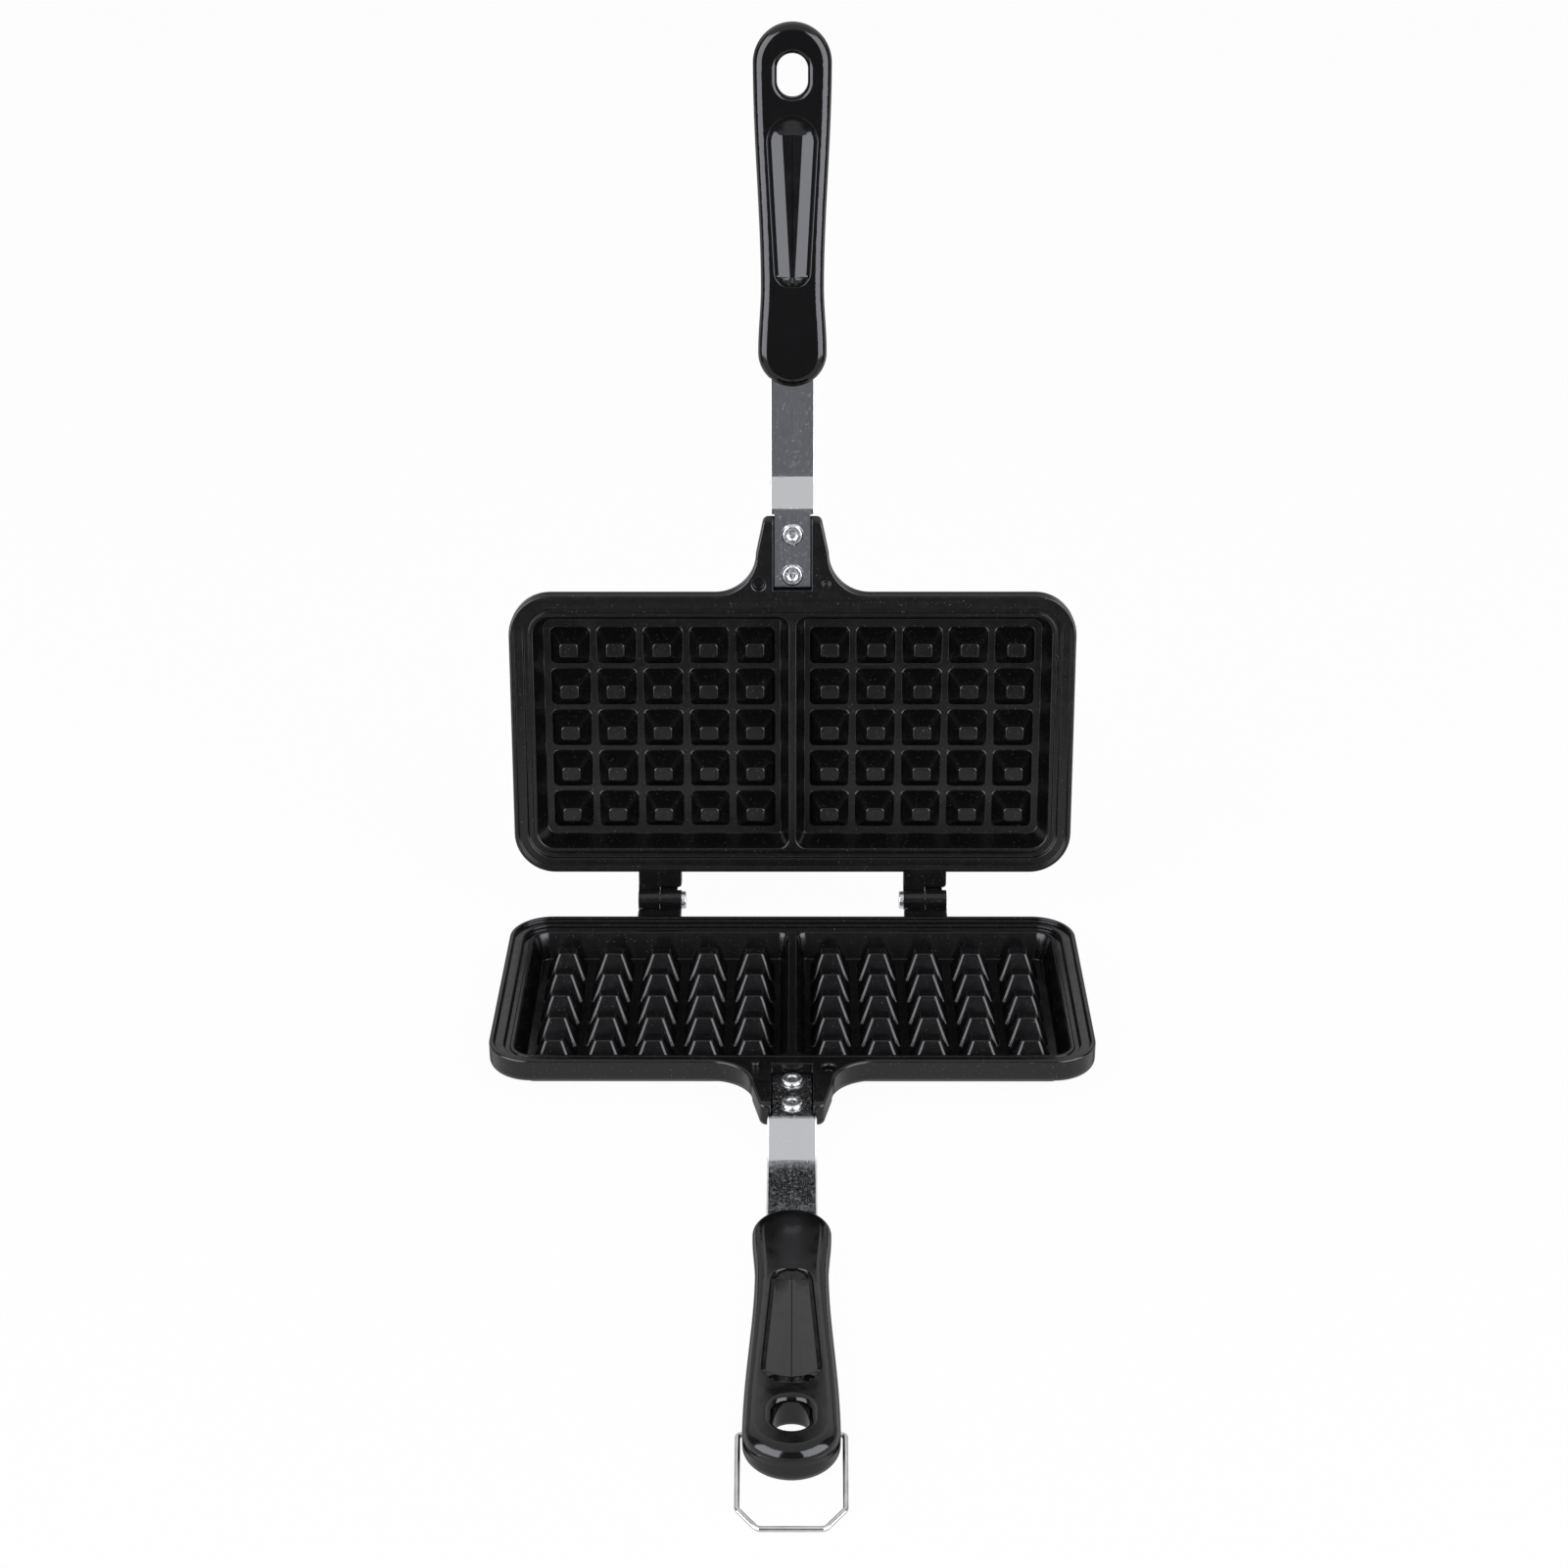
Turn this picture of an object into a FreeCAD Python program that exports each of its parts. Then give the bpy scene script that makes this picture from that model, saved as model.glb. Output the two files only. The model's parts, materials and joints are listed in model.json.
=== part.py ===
"""A stove-top waffle pan: two hinged cast plates, strap handles, moulded grips and a wire bail."""
import FreeCAD, Part
import math
import os
import re

import Sketcher

# Driving sizes in millimetres and degrees, as name, value and what it is.
# Each half has a frame of its own: the hinge axis is X, the plate lies towards -Y,
# and its face looks along +Z. A drop is measured down from the hinge plane.
SIZES = (
    ("plate_width", 194.0, "cast plate, left to right"),
    ("plate_depth", 99.3, "cast plate, hinge side to handle side"),
    ("plate_corner_radius", 14.1, "outer corner seen from above"),
    ("hinge_setback", 9.8, "hinge axis to the plate's rear edge"),
    ("rim_drop", 1.1, "rim below the hinge plane"),
    ("rim_height", 8.3, "outer wall of the rim"),
    ("rim_foot_radius", 2.5, "rounding under the rim"),
    ("rim_edge_radius", 0.8, "rounding of the rim's upper edge"),
    ("pan_inset", 7.8, "outer wall of the pan inside the rim"),
    ("underside_drop", 16.0, "flat underside below the hinge plane"),
    ("pan_foot_radius", 6.4, "rounding round the underside"),
    ("lip_width", 1.6, "raised outer lip of the rim"),
    ("ledge_depth", 1.3, "flat ledge below the lip"),
    ("groove_inset", 4.8, "overflow groove from the outer edge"),
    ("groove_depth", 2.9, "overflow groove below the lip"),
    ("bead_inset", 6.7, "sealing bead from the outer edge"),
    ("bead_width", 1.3, "sealing bead"),
    ("bead_depth", 2.3, "top of the bead below the lip"),
    ("cavity_depth", 11.4, "cavity floor below the lip"),
    ("wall_run", 2.7, "how far a cavity wall slopes in"),
    ("divider_width", 2.6, "top of the bar between the cavities"),
    ("divider_corner_radius", 3.7, "cavity corner beside the bar"),
    ("bar_margin", 2.15, "first pyramid from the foot of the bar"),
    ("side_margin", 2.75, "last pyramid from the foot of the side wall"),
    ("end_margin", 3.1, "pyramids from the foot of an end wall"),
    ("column_gap", 2.6, "between pyramids, left to right"),
    ("row_gap", 2.1, "between pyramids, front to back"),
    ("pyramid_height", 8.4, "pyramid above the cavity floor"),
    ("pyramid_side_run", 3.6, "how far its left and right flanks slope in"),
    ("pyramid_end_run", 4.0, "how far its front and back flanks slope in"),
    ("pyramid_foot_radius", 1.6, "pyramid corner at the floor"),
    ("pyramid_top_radius", 1.2, "pyramid corner at the top"),
    ("hinge_offset", 46.4, "middle of each hinge from the middle of the plate"),
    ("tab_width", 15.0, "hinge tab"),
    ("tab_height", 5.5, "hinge tab"),
    ("tab_corner_radius", 1.2, "outer corner of the hinge tab"),
    ("knuckle_radius", 3.5, "hinge knuckle"),
    ("knuckle_gap", 0.6, "knuckle to the other half's tab"),
    ("knuckle_play", 0.2, "between two knuckles, along the axis"),
    ("heel_reach", 5.0, "stop heel behind the knuckle"),
    ("heel_drop", 1.0, "underside of the heel's tip"),
    ("heel_relief", 1.5, "knuckle left bare beside the heel"),
    ("stop_gap", 0.05, "heel to the tab that stops on it"),
    ("open_angle", 97.8, "lid raised from closed to its stop"),
    ("pin_radius", 1.75, "hinge pin"),
    ("pin_clearance", 0.05, "running clearance round the pin"),
    ("pin_head_radius", 3.1, "hinge pin head"),
    ("pin_head_height", 1.6, "hinge pin head"),
    ("pin_head_edge_radius", 0.4, "rounded edge of the hinge pin head"),
    ("pin_end_inset", 0.5, "pin end inside the far knuckle's face"),
    ("neck_reach", 26.3, "neck from the plate's front edge"),
    ("neck_tip_width", 19.6, "neck at its tip"),
    ("neck_root_width", 24.8, "neck where its flare ends"),
    ("flare_radius", 14.0, "flare from the neck into the rim"),
    ("neck_corner_radius", 2.0, "neck tip corner seen from above"),
    ("neck_round_run", 2.1, "how far the neck's tip is rounded over"),
    ("neck_round_radius", 2.9, "rounding over the neck's tip"),
    ("peg_offset", 11.5, "locating peg and hole from the middle"),
    ("peg_reach", 3.75, "locating peg and hole from the plate's front edge"),
    ("peg_radius", 1.35, "locating peg"),
    ("peg_height", 2.0, "locating peg"),
    ("peg_edge_radius", 0.5, "rounded tip of the locating peg"),
    ("socket_radius", 2.0, "hole that takes the other half's peg"),
    ("socket_depth", 2.4, "hole that takes the other half's peg"),
    ("socket_mouth_radius", 0.7, "rounded mouth of that hole"),
    ("strap_width", 15.2, "handle strap"),
    ("tongue_width", 12.2, "strap where it lies in the neck"),
    ("strap_thickness", 1.9, "handle strap"),
    ("first_bend_radius", 2.1, "inside of the bend beside the neck"),
    ("second_bend_radius", 4.0, "inside of the bend at the foot of the slope"),
    ("strap_edge_radius", 0.5, "rounded long edges of the strap"),
    ("tongue_drop", 4.6, "strap's upper face on the neck"),
    ("tongue_start", 2.05, "strap's end from the plate's front edge"),
    ("seat_clearance", 0.4, "round the strap in the neck's recess"),
    ("shoulder_start", 27.3, "where the strap grows wider, from the plate's front edge"),
    ("shoulder_radius", 1.0, "strap's shoulder corner"),
    ("step_start", 28.9, "first bend from the plate's front edge"),
    ("step_run", 10.1, "length of the sloping part"),
    ("step_fall", 8.3, "drop of the sloping part"),
    ("tang_length", 30.0, "strap inside the grip"),
    ("tang_clearance", 0.15, "round the strap in the grip's slot"),
    ("rivet_radius", 2.2, "rivet shank"),
    ("rivet_clearance", 0.05, "round the rivet shank"),
    ("rivet_head_radius", 3.75, "rivet head"),
    ("rivet_head_height", 1.2, "rivet head"),
    ("rivet_dish_radius", 1.7, "stamped dish in the rivet head"),
    ("rivet_dish_depth", 0.4, "stamped dish in the rivet head"),
    ("rivet_bevel", 0.7, "sloped edge of the rivet head"),
    ("rivet_tail_radius", 3.3, "upset tail under the neck"),
    ("rivet_tail_height", 1.0, "upset tail under the neck"),
    ("rivet_first", 6.35, "first rivet from the plate's front edge"),
    ("rivet_pitch", 13.9, "between the two rivets"),
    ("grip_start", 69.35, "grip from the plate's front edge"),
    ("grip_length", 118.5, "grip"),
    ("grip_near_drop", 9.2, "inner face of the grip at the plate's end"),
    ("grip_far_drop", 5.2, "inner face of the grip at the far end"),
    ("grip_near_radius", 11.5, "round end towards the plate"),
    ("grip_far_radius", 12.85, "round far end"),
    ("waist_reach", 33.7, "waist from the grip's near end"),
    ("waist_width", 21.0, "waist of the grip"),
    ("grip_upper_edge_radius", 3.5, "rounding round the inner face"),
    ("grip_lower_edge_radius", 3.0, "rounding round the outer face"),
    ("hang_hole_width", 10.1, "hanging hole"),
    ("hang_hole_length", 13.8, "hanging hole"),
    ("hang_hole_flat", 0.2, "straight part of the hanging hole's ends"),
    ("hang_hole_inset", 9.8, "hanging hole from the grip's far end"),
    ("hang_hole_edge_radius", 1.9, "rounded mouth of the hanging hole"),
    ("thumb_inset", 29.8, "wide end of the thumb groove from the grip's far end"),
    ("thumb_length", 55.0, "thumb groove"),
    ("thumb_wide", 16.2, "thumb groove at its wide end"),
    ("thumb_narrow", 11.7, "thumb groove at its narrow end"),
    ("thumb_floor_wide", 6.6, "floor of the thumb groove at its wide end"),
    ("thumb_floor_narrow", 1.6, "floor of the thumb groove at its narrow end"),
    ("thumb_wall", 0.3, "upright edge round the thumb groove"),
    ("thumb_depth", 1.8, "side of the thumb groove's floor below the grip's face"),
    ("thumb_crease", 0.5, "crease along the floor below the floor's side, at the wide end"),
    ("thumb_end_depth", 0.3, "floor of the thumb groove at both its ends"),
    ("thumb_wide_ramp", 6.0, "ramp at the wide end"),
    ("thumb_narrow_ramp", 2.9, "ramp at the narrow end"),
    ("thumb_corner_radius", 5.0, "corners of the thumb groove's narrow end"),
    ("screw_inset", 15.0, "grip screw from the grip's near end"),
    ("screw_radius", 1.5, "grip screw"),
    ("screw_clearance", 0.05, "round the grip screw"),
    ("screw_head_radius", 2.8, "grip screw's countersunk head"),
    ("screw_head_height", 1.3, "grip screw's countersunk head"),
    ("screw_sink", 0.3, "screw head below the grip's surface"),
    ("screw_length", 4.4, "grip screw over all"),
    ("screw_slot_width", 0.7, "slot in the screw head"),
    ("screw_slot_depth", 0.6, "slot in the screw head"),
    ("pivot_inset", 15.2, "bail pivot from the grip's far end"),
    ("pivot_rise", 4.0, "bail pivot above the grip's outer face"),
    ("pivot_depth", 4.8, "blind pivot hole in the grip's side"),
    ("wire_radius", 0.75, "bail wire"),
    ("pivot_clearance", 0.06, "round the bail's ends in the grip"),
    ("bail_side_gap", 0.45, "bail leg to the grip's side"),
    ("bail_leg", 26.4, "straight leg of the bail"),
    ("bail_reach", 33.1, "bail's cross bar from its pivot"),
    ("bail_bar", 17.1, "straight part of the cross bar"),
    ("bail_taper", 0.3, "how far each leg leans in"),
    ("bail_bend_radius", 2.2, "bends beside the cross bar"),
    ("bail_pivot_bend_radius", 0.95, "tight bends outside the grip, where the ends turn in"),
    ("lap", 1.0, "how far joined forms run into each other"),
    ("overrun", 2.0, "how far a cut runs past a face"),
)

# Pyramids in each cavity, and rivets in each strap
COLUMNS = 5
ROWS = 5
RIVETS = 2

# Coordinates closer than this are taken as equal.
TOUCH = 1e-4

# A flat face is taken as level when its normal points at least this much up or down.
LEVEL_SHARE = 0.9

NAMES = [name for name, value, note in SIZES]
doc = FreeCAD.newDocument("waffle_pan")


def make_sheet():
    """The driving sizes as a spreadsheet with one alias per row."""
    sheet = doc.addObject("Spreadsheet::Sheet", "Sizes")
    for row, (name, value, note) in enumerate(SIZES, start=1):
        sheet.set(f"A{row}", name)
        sheet.set(f"B{row}", str(value))
        sheet.setAlias(f"B{row}", name)
        sheet.set(f"C{row}", note)
    doc.recompute()
    return sheet


sheet = make_sheet()
ALIAS = re.compile(r"\b(" + "|".join(NAMES) + r")\b")


def bound(formula):
    """A formula in alias names as an expression that refers to the sheet."""
    return ALIAS.sub(r"Sizes.\1", formula)


def value(formula):
    """The number that a formula in alias names gives."""
    result = sheet.evalExpression(bound(formula))
    return float(getattr(result, "Value", result))


def bind(item, **formulas):
    """Tie properties of an object to formulas in alias names."""
    for key, formula in formulas.items():
        item.setExpression(key, bound(formula))


# Formulas that several pieces share
REAR = "-hinge_setback"
FRONT = "-(hinge_setback + plate_depth)"
MIDDLE = "-(hinge_setback + plate_depth / 2)"
RIM_TOP = "-rim_drop"
RIM_FOOT = "-(rim_drop + rim_height)"
UNDERSIDE = "-underside_drop"
FLOOR = "-(rim_drop + cavity_depth)"
BEAD_TOP = "-(rim_drop + bead_depth)"
TONGUE_FACE = "-tongue_drop"
RECESS_FLOOR = "-(tongue_drop + strap_thickness)"
NECK_TIP = f"{FRONT} - neck_reach"
GRIP_NEAR = f"{FRONT} - grip_start"
GRIP_FAR = f"{FRONT} - grip_start - grip_length"
FLOOR_INNER = "(divider_width / 2 + wall_run)"
FLOOR_OUTER = "(plate_width / 2 - bead_inset - bead_width - wall_run)"
FLOOR_DEPTH = "(plate_depth - 2 * (bead_inset + bead_width + wall_run))"
COLUMN_PITCH = f"(({FLOOR_OUTER} - {FLOOR_INNER} - bar_margin - side_margin + column_gap) / {COLUMNS})"
ROW_PITCH = f"(({FLOOR_DEPTH} - 2 * end_margin + row_gap) / {ROWS})"
HANDLE_TILT = "atan((grip_near_drop - grip_far_drop) / grip_length)"
PIVOT_Y = f"{GRIP_FAR} + pivot_inset"
PIVOT_Z = "-(underside_drop - pivot_rise)"
LEG_X = "(grip_far_radius + bail_side_gap + wire_radius)"


def origin_plane(body, role):
    """One of the body's own origin planes."""
    return next(item for item in body.Origin.OriginFeatures if item.Role == role)


def new_body(name):
    """An empty body in the document."""
    body = doc.addObject("PartDesign::Body", name)
    body.Label = name
    return body


def new_sketch(owner, name, role="XY_Plane", offset="0"):
    """A sketch on a plane of the body, or free in the document, at an offset along its normal."""
    if owner is None:
        sketch = doc.addObject("Sketcher::SketchObject", name)
        turns = {"XY_Plane": (0, 0, 0), "XZ_Plane": (0, 0, 90), "YZ_Plane": (90, 0, 90)}
        turn = FreeCAD.Rotation(*turns[role])
        normal = turn.multVec(FreeCAD.Vector(0, 0, 1))
        sketch.Placement = FreeCAD.Placement(normal * value(offset), turn)
        return sketch
    sketch = owner.newObject("Sketcher::SketchObject", name)
    sketch.AttachmentSupport = [(origin_plane(owner, role), "")]
    sketch.MapMode = "FlatFace"
    sketch.setExpression(".AttachmentOffset.Base.z", bound(offset))
    return sketch


def pin_point(sketch, element, point, across, along):
    """Hold one point of a sketch at coordinates given by formulas."""
    for kind, formula in (("DistanceX", across), ("DistanceY", along)):
        number = sketch.addConstraint(Sketcher.Constraint(kind, -1, 1, element, point, value(formula)))
        sketch.setExpression(f"Constraints[{number}]", bound(formula))


def hold_radius(sketch, element, radius):
    """Hold the radius of a sketch's circle or arc at a formula."""
    number = sketch.addConstraint(Sketcher.Constraint("Radius", element, value(radius)))
    sketch.setExpression(f"Constraints[{number}]", bound(radius))


def circle(sketch, across, along, radius):
    """A full circle held at a centre and a radius given by formulas."""
    centre = FreeCAD.Vector(value(across), value(along), 0)
    element = sketch.addGeometry(Part.Circle(centre, FreeCAD.Vector(0, 0, 1), value(radius)))
    pin_point(sketch, element, 3, across, along)
    hold_radius(sketch, element, radius)


def polygon(sketch, corners):
    """A closed outline of straight sides through corners given by formulas."""
    points = [FreeCAD.Vector(value(across), value(along), 0) for across, along in corners]
    first = None
    for number, start in enumerate(points):
        end = points[(number + 1) % len(points)]
        element = sketch.addGeometry(Part.LineSegment(start, end))
        first = element if first is None else first
        if number:
            sketch.addConstraint(Sketcher.Constraint("Coincident", element - 1, 2, element, 1))
        pin_point(sketch, element, 1, *corners[number])
    sketch.addConstraint(Sketcher.Constraint("Coincident", element, 2, first, 1))


def rectangle(sketch, left, right, low, high):
    """A rectangle with sharp corners between four formulas."""
    polygon(sketch, [(left, low), (right, low), (right, high), (left, high)])


def corner_arc(centre, radius, start):
    """A quarter circle that begins at an angle given in quarter turns."""
    full = Part.Circle(centre, FreeCAD.Vector(0, 0, 1), radius)
    return Part.ArcOfCircle(full, start * math.pi / 2, (start + 1) * math.pi / 2)


def rounded_rectangle(sketch, left, right, low, high, left_radius, right_radius=None):
    """A rectangle with round corners, the left pair and the right pair each with its own radius."""
    right_radius = right_radius or left_radius
    x0, x1, y0, y1 = value(left), value(right), value(low), value(high)
    near, far = value(left_radius), value(right_radius)
    spots = ((x1 - far, y1 - far, far), (x0 + near, y1 - near, near),
             (x0 + near, y0 + near, near), (x1 - far, y0 + far, far))
    arcs = []
    for quarter, (x, y, radius) in enumerate(spots):
        arcs.append(sketch.addGeometry(corner_arc(FreeCAD.Vector(x, y, 0), radius, quarter)))
    sides = []
    for quarter in range(4):
        start = sketch.Geometry[arcs[quarter]].EndPoint
        end = sketch.Geometry[arcs[(quarter + 1) % 4]].StartPoint
        sides.append(sketch.addGeometry(Part.LineSegment(start, end)))
    for quarter in range(4):
        follower = arcs[(quarter + 1) % 4]
        sketch.addConstraint(Sketcher.Constraint("Tangent", arcs[quarter], 2, sides[quarter], 1))
        sketch.addConstraint(Sketcher.Constraint("Tangent", sides[quarter], 2, follower, 1))
    for quarter, kind in enumerate(("Horizontal", "Vertical", "Horizontal", "Vertical")):
        sketch.addConstraint(Sketcher.Constraint(kind, sides[quarter]))
    edges = ((sides[0], "DistanceY", high), (sides[1], "DistanceX", left),
             (sides[2], "DistanceY", low), (sides[3], "DistanceX", right))
    for side, kind, formula in edges:
        number = sketch.addConstraint(Sketcher.Constraint(kind, -1, 1, side, 1, value(formula)))
        sketch.setExpression(f"Constraints[{number}]", bound(formula))
    for arc, radius in zip(arcs, (right_radius, left_radius, left_radius, right_radius)):
        hold_radius(sketch, arc, radius)


def pad(body, sketch, length, name, reverse=False, both=False):
    """Add a sketch's outline to the body, along its normal, against it or both ways."""
    feature = body.newObject("PartDesign::Pad", name)
    feature.Profile = sketch
    feature.Reversed = reverse
    if both:
        feature.SideType = "Symmetric"
    bind(feature, Length=length)
    doc.recompute()
    return feature


def pocket(body, sketch, length, name, reverse=False, both=False):
    """Cut a sketch's outline into the body, and make sure that it removes something."""
    before = body.Shape.Volume
    feature = body.newObject("PartDesign::Pocket", name)
    feature.Profile = sketch
    feature.Reversed = reverse
    if both:
        feature.SideType = "Symmetric"
    bind(feature, Length=length)
    doc.recompute()
    if body.Shape.Volume >= before:
        raise ValueError(f"{name} cuts nothing")
    return feature


def edge_names(shape, test):
    """Names of the edges whose bounding box passes a test."""
    return [f"Edge{number}" for number, edge in enumerate(shape.Edges, start=1) if test(edge.BoundBox)]


def level(height):
    """A test for edges that lie at one height."""
    place = value(height)
    return lambda box: abs(box.ZMin - place) < TOUCH and abs(box.ZMax - place) < TOUCH


def round_at(across, along, height):
    """A test for level edges round an upright axis, at one height."""
    x, y, lies_at = value(across), value(along), level(height)
    return lambda box: lies_at(box) and abs(box.Center.x - x) < TOUCH and abs(box.Center.y - y) < TOUCH


def upright_at(across, along):
    """A test for upright edges at one point seen from above."""
    x, y = value(across), value(along)

    def test(box):
        there = abs(box.Center.x - x) < TOUCH and abs(box.Center.y - y) < TOUCH
        return there and box.XLength < TOUCH and box.YLength < TOUCH
    return test


def fillet(body, names, radius, name):
    """Round named edges of the body as it is so far."""
    if not names:
        raise ValueError(f"{name} finds no edges")
    base = body.Tip
    feature = body.newObject("PartDesign::Fillet", name)
    feature.Base = (base, names)
    bind(feature, Radius=radius)
    doc.recompute()
    return feature


def plate_outline(body, name, inset, height):
    """A sketch of the plate's outline drawn in by an inset."""
    sketch = new_sketch(body, name, offset=height)
    rounded_rectangle(sketch, f"-(plate_width / 2 - {inset})", f"plate_width / 2 - {inset}",
                      f"{FRONT} + {inset}", f"{REAR} - {inset}", f"plate_corner_radius - {inset}")
    return sketch


def neck_sketch(body):
    """Outline of the neck: a straight taper that flares into the front of the rim."""
    sketch = new_sketch(body, "NeckOutline", offset=RIM_TOP)
    tip, root = value("neck_tip_width / 2"), value("neck_root_width / 2")
    flare = value("flare_radius")
    front, end = value(FRONT), value(NECK_TIP)
    inside = front + value("lap")
    up = FreeCAD.Vector(0, 0, 1)
    wing = root + flare
    right = Part.Circle(FreeCAD.Vector(wing, front - flare, 0), up, flare)
    left = Part.Circle(FreeCAD.Vector(-wing, front - flare, 0), up, flare)
    corners = [(-wing, front), (-wing, inside), (wing, inside), (wing, front)]
    taper = [(root, front - flare), (tip, end), (-tip, end), (-root, front - flare)]
    for outline in (corners, taper):
        for (x0, y0), (x1, y1) in zip(outline, outline[1:]):
            line = Part.LineSegment(FreeCAD.Vector(x0, y0, 0), FreeCAD.Vector(x1, y1, 0))
            sketch.addGeometry(line)
    sketch.addGeometry(Part.ArcOfCircle(right, math.pi / 2, math.pi))
    sketch.addGeometry(Part.ArcOfCircle(left, 0, math.pi / 2))
    return sketch


def neck_rounding(body):
    """Round the neck's upper face over towards its tip."""
    sketch = new_sketch(body, "NeckRounding", "YZ_Plane")
    radius, above = value("neck_round_radius"), value("overrun")
    start, top = value(f"{NECK_TIP} + neck_round_run"), value(RIM_TOP)
    centre = FreeCAD.Vector(start, top - radius, 0)
    sketch.addGeometry(corner_arc(centre, radius, 1))
    corners = [(start - radius, top - radius), (start - radius, top + above),
               (start, top + above), (start, top)]
    for (x0, y0), (x1, y1) in zip(corners, corners[1:]):
        sketch.addGeometry(Part.LineSegment(FreeCAD.Vector(x0, y0, 0), FreeCAD.Vector(x1, y1, 0)))
    pocket(body, sketch, "2 * neck_tip_width", "NeckRoundingCut", both=True)


def rim_and_neck(body):
    """The rim with its neck and hinge tabs, rounded above and below."""
    pad(body, plate_outline(body, "RimOutline", "0", RIM_TOP), "rim_height", "Rim", reverse=True)
    pad(body, neck_sketch(body), "rim_height", "Neck", reverse=True)
    neck_rounding(body)
    for side in (-1, 1):
        tab = new_sketch(body, "TabOutline", offset=RIM_TOP)
        centre = f"{side} * hinge_offset"
        rectangle(tab, f"{centre} - tab_width / 2", f"{centre} + tab_width / 2",
                  f"{REAR} - lap", "-(knuckle_radius + knuckle_gap)")
        pad(body, tab, "tab_height", "Tab", reverse=True)
    tips = []
    for side in (-1, 1):
        tips += edge_names(body.Shape, upright_at(f"{side} * neck_tip_width / 2", NECK_TIP))
    fillet(body, tips, "neck_corner_radius", "NeckCorners")
    corners = []
    for side in (-1, 1):
        place = f"{side} * hinge_offset - tab_width / 2"
        corners += edge_names(body.Shape, upright_at(place, "-(knuckle_radius + knuckle_gap)"))
    fillet(body, corners, "tab_corner_radius", "TabCorners")
    fillet(body, edge_names(body.Shape, level(RIM_FOOT)), "rim_foot_radius", "RimFoot")
    fillet(body, edge_names(body.Shape, level(RIM_TOP)), "rim_edge_radius", "RimEdge")


def pan(body):
    """The deeper pan under the rim, with the flat underside that it stands on."""
    sketch = plate_outline(body, "PanOutline", "pan_inset", UNDERSIDE)
    pad(body, sketch, f"underside_drop + {RIM_FOOT} + lap", "Pan")
    fillet(body, edge_names(body.Shape, level(UNDERSIDE)), "pan_foot_radius", "PanFoot")


def rim_steps(body):
    """The ledge and the overflow groove inside the lip, and the sealing bead."""
    pocket(body, plate_outline(body, "LedgeOutline", "lip_width", RIM_TOP), "ledge_depth", "Ledge")
    groove = plate_outline(body, "GrooveOutline", "groove_inset", RIM_TOP)
    pocket(body, groove, "groove_depth", "Groove")
    bead = plate_outline(body, "BeadOutline", "bead_inset", BEAD_TOP)
    pad(body, bead, "groove_depth - bead_depth + lap", "Bead", reverse=True)


def cavity_section(body, name, run, height):
    """The cavity's outline, with its walls drawn in by a run."""
    sketch = new_sketch(body, name, offset=height)
    inset = f"(bead_inset + bead_width + {run})"
    rounded_rectangle(sketch, f"divider_width / 2 + {run}", f"plate_width / 2 - {inset}",
                      f"{FRONT} + {inset}", f"{REAR} - {inset}",
                      f"divider_corner_radius - {run}", f"plate_corner_radius - {inset}")
    return sketch


def cavities(body):
    """Two tapered cavities, one each side of the dividing bar."""
    before = body.Shape.Volume
    mouth = cavity_section(body, "CavityMouth", "0", BEAD_TOP)
    floor = cavity_section(body, "CavityFloor", "wall_run", FLOOR)
    cut = body.newObject("PartDesign::SubtractiveLoft", "Cavity")
    cut.Profile = mouth
    cut.Sections = [floor]
    cut.Ruled = True
    doc.recompute()
    mirror = body.newObject("PartDesign::Mirrored", "OtherCavity")
    mirror.Originals = [cut]
    mirror.MirrorPlane = (origin_plane(body, "YZ_Plane"), [""])
    body.Tip = mirror
    doc.recompute()
    if body.Shape.Volume >= before:
        raise ValueError("the cavities cut nothing")


def pyramid_section(body, name, side_run, end_run, radius, height):
    """A section of the first pyramid, nearest the bar and the front."""
    sketch = new_sketch(body, name, offset=height)
    left = f"{FLOOR_INNER} + bar_margin"
    low = f"{MIDDLE} - {FLOOR_DEPTH} / 2 + end_margin"
    rounded_rectangle(sketch, f"{left} + {side_run}", f"{left} + {COLUMN_PITCH} - column_gap - {side_run}",
                      f"{low} + {end_run}", f"{low} + {ROW_PITCH} - row_gap - {end_run}", radius)
    return sketch


def pyramids(body):
    """Rows and columns of blunt pyramids on both cavity floors."""
    foot = pyramid_section(body, "PyramidFoot", "0", "0", "pyramid_foot_radius", FLOOR)
    top = pyramid_section(body, "PyramidTop", "pyramid_side_run", "pyramid_end_run",
                          "pyramid_top_radius", f"{FLOOR} + pyramid_height")
    first = body.newObject("PartDesign::AdditiveLoft", "Pyramid")
    first.Profile = foot
    first.Sections = [top]
    first.Ruled = True
    doc.recompute()
    grid = body.newObject("PartDesign::MultiTransform", "Pyramids")
    grid.Originals = [first]
    steps = []
    for name, axis, pitch, count in (("Columns", "X_Axis", COLUMN_PITCH, COLUMNS),
                                     ("Rows", "Y_Axis", ROW_PITCH, ROWS)):
        step = body.newObject("PartDesign::LinearPattern", name)
        step.Direction = (origin_plane(body, axis), [""])
        step.Occurrences = count
        bind(step, Length=f"{pitch} * {count - 1}")
        steps.append(step)
    other = body.newObject("PartDesign::Mirrored", "OtherSide")
    other.MirrorPlane = (origin_plane(body, "YZ_Plane"), [""])
    steps.append(other)
    grid.Transformations = steps
    body.Tip = grid
    doc.recompute()


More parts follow.
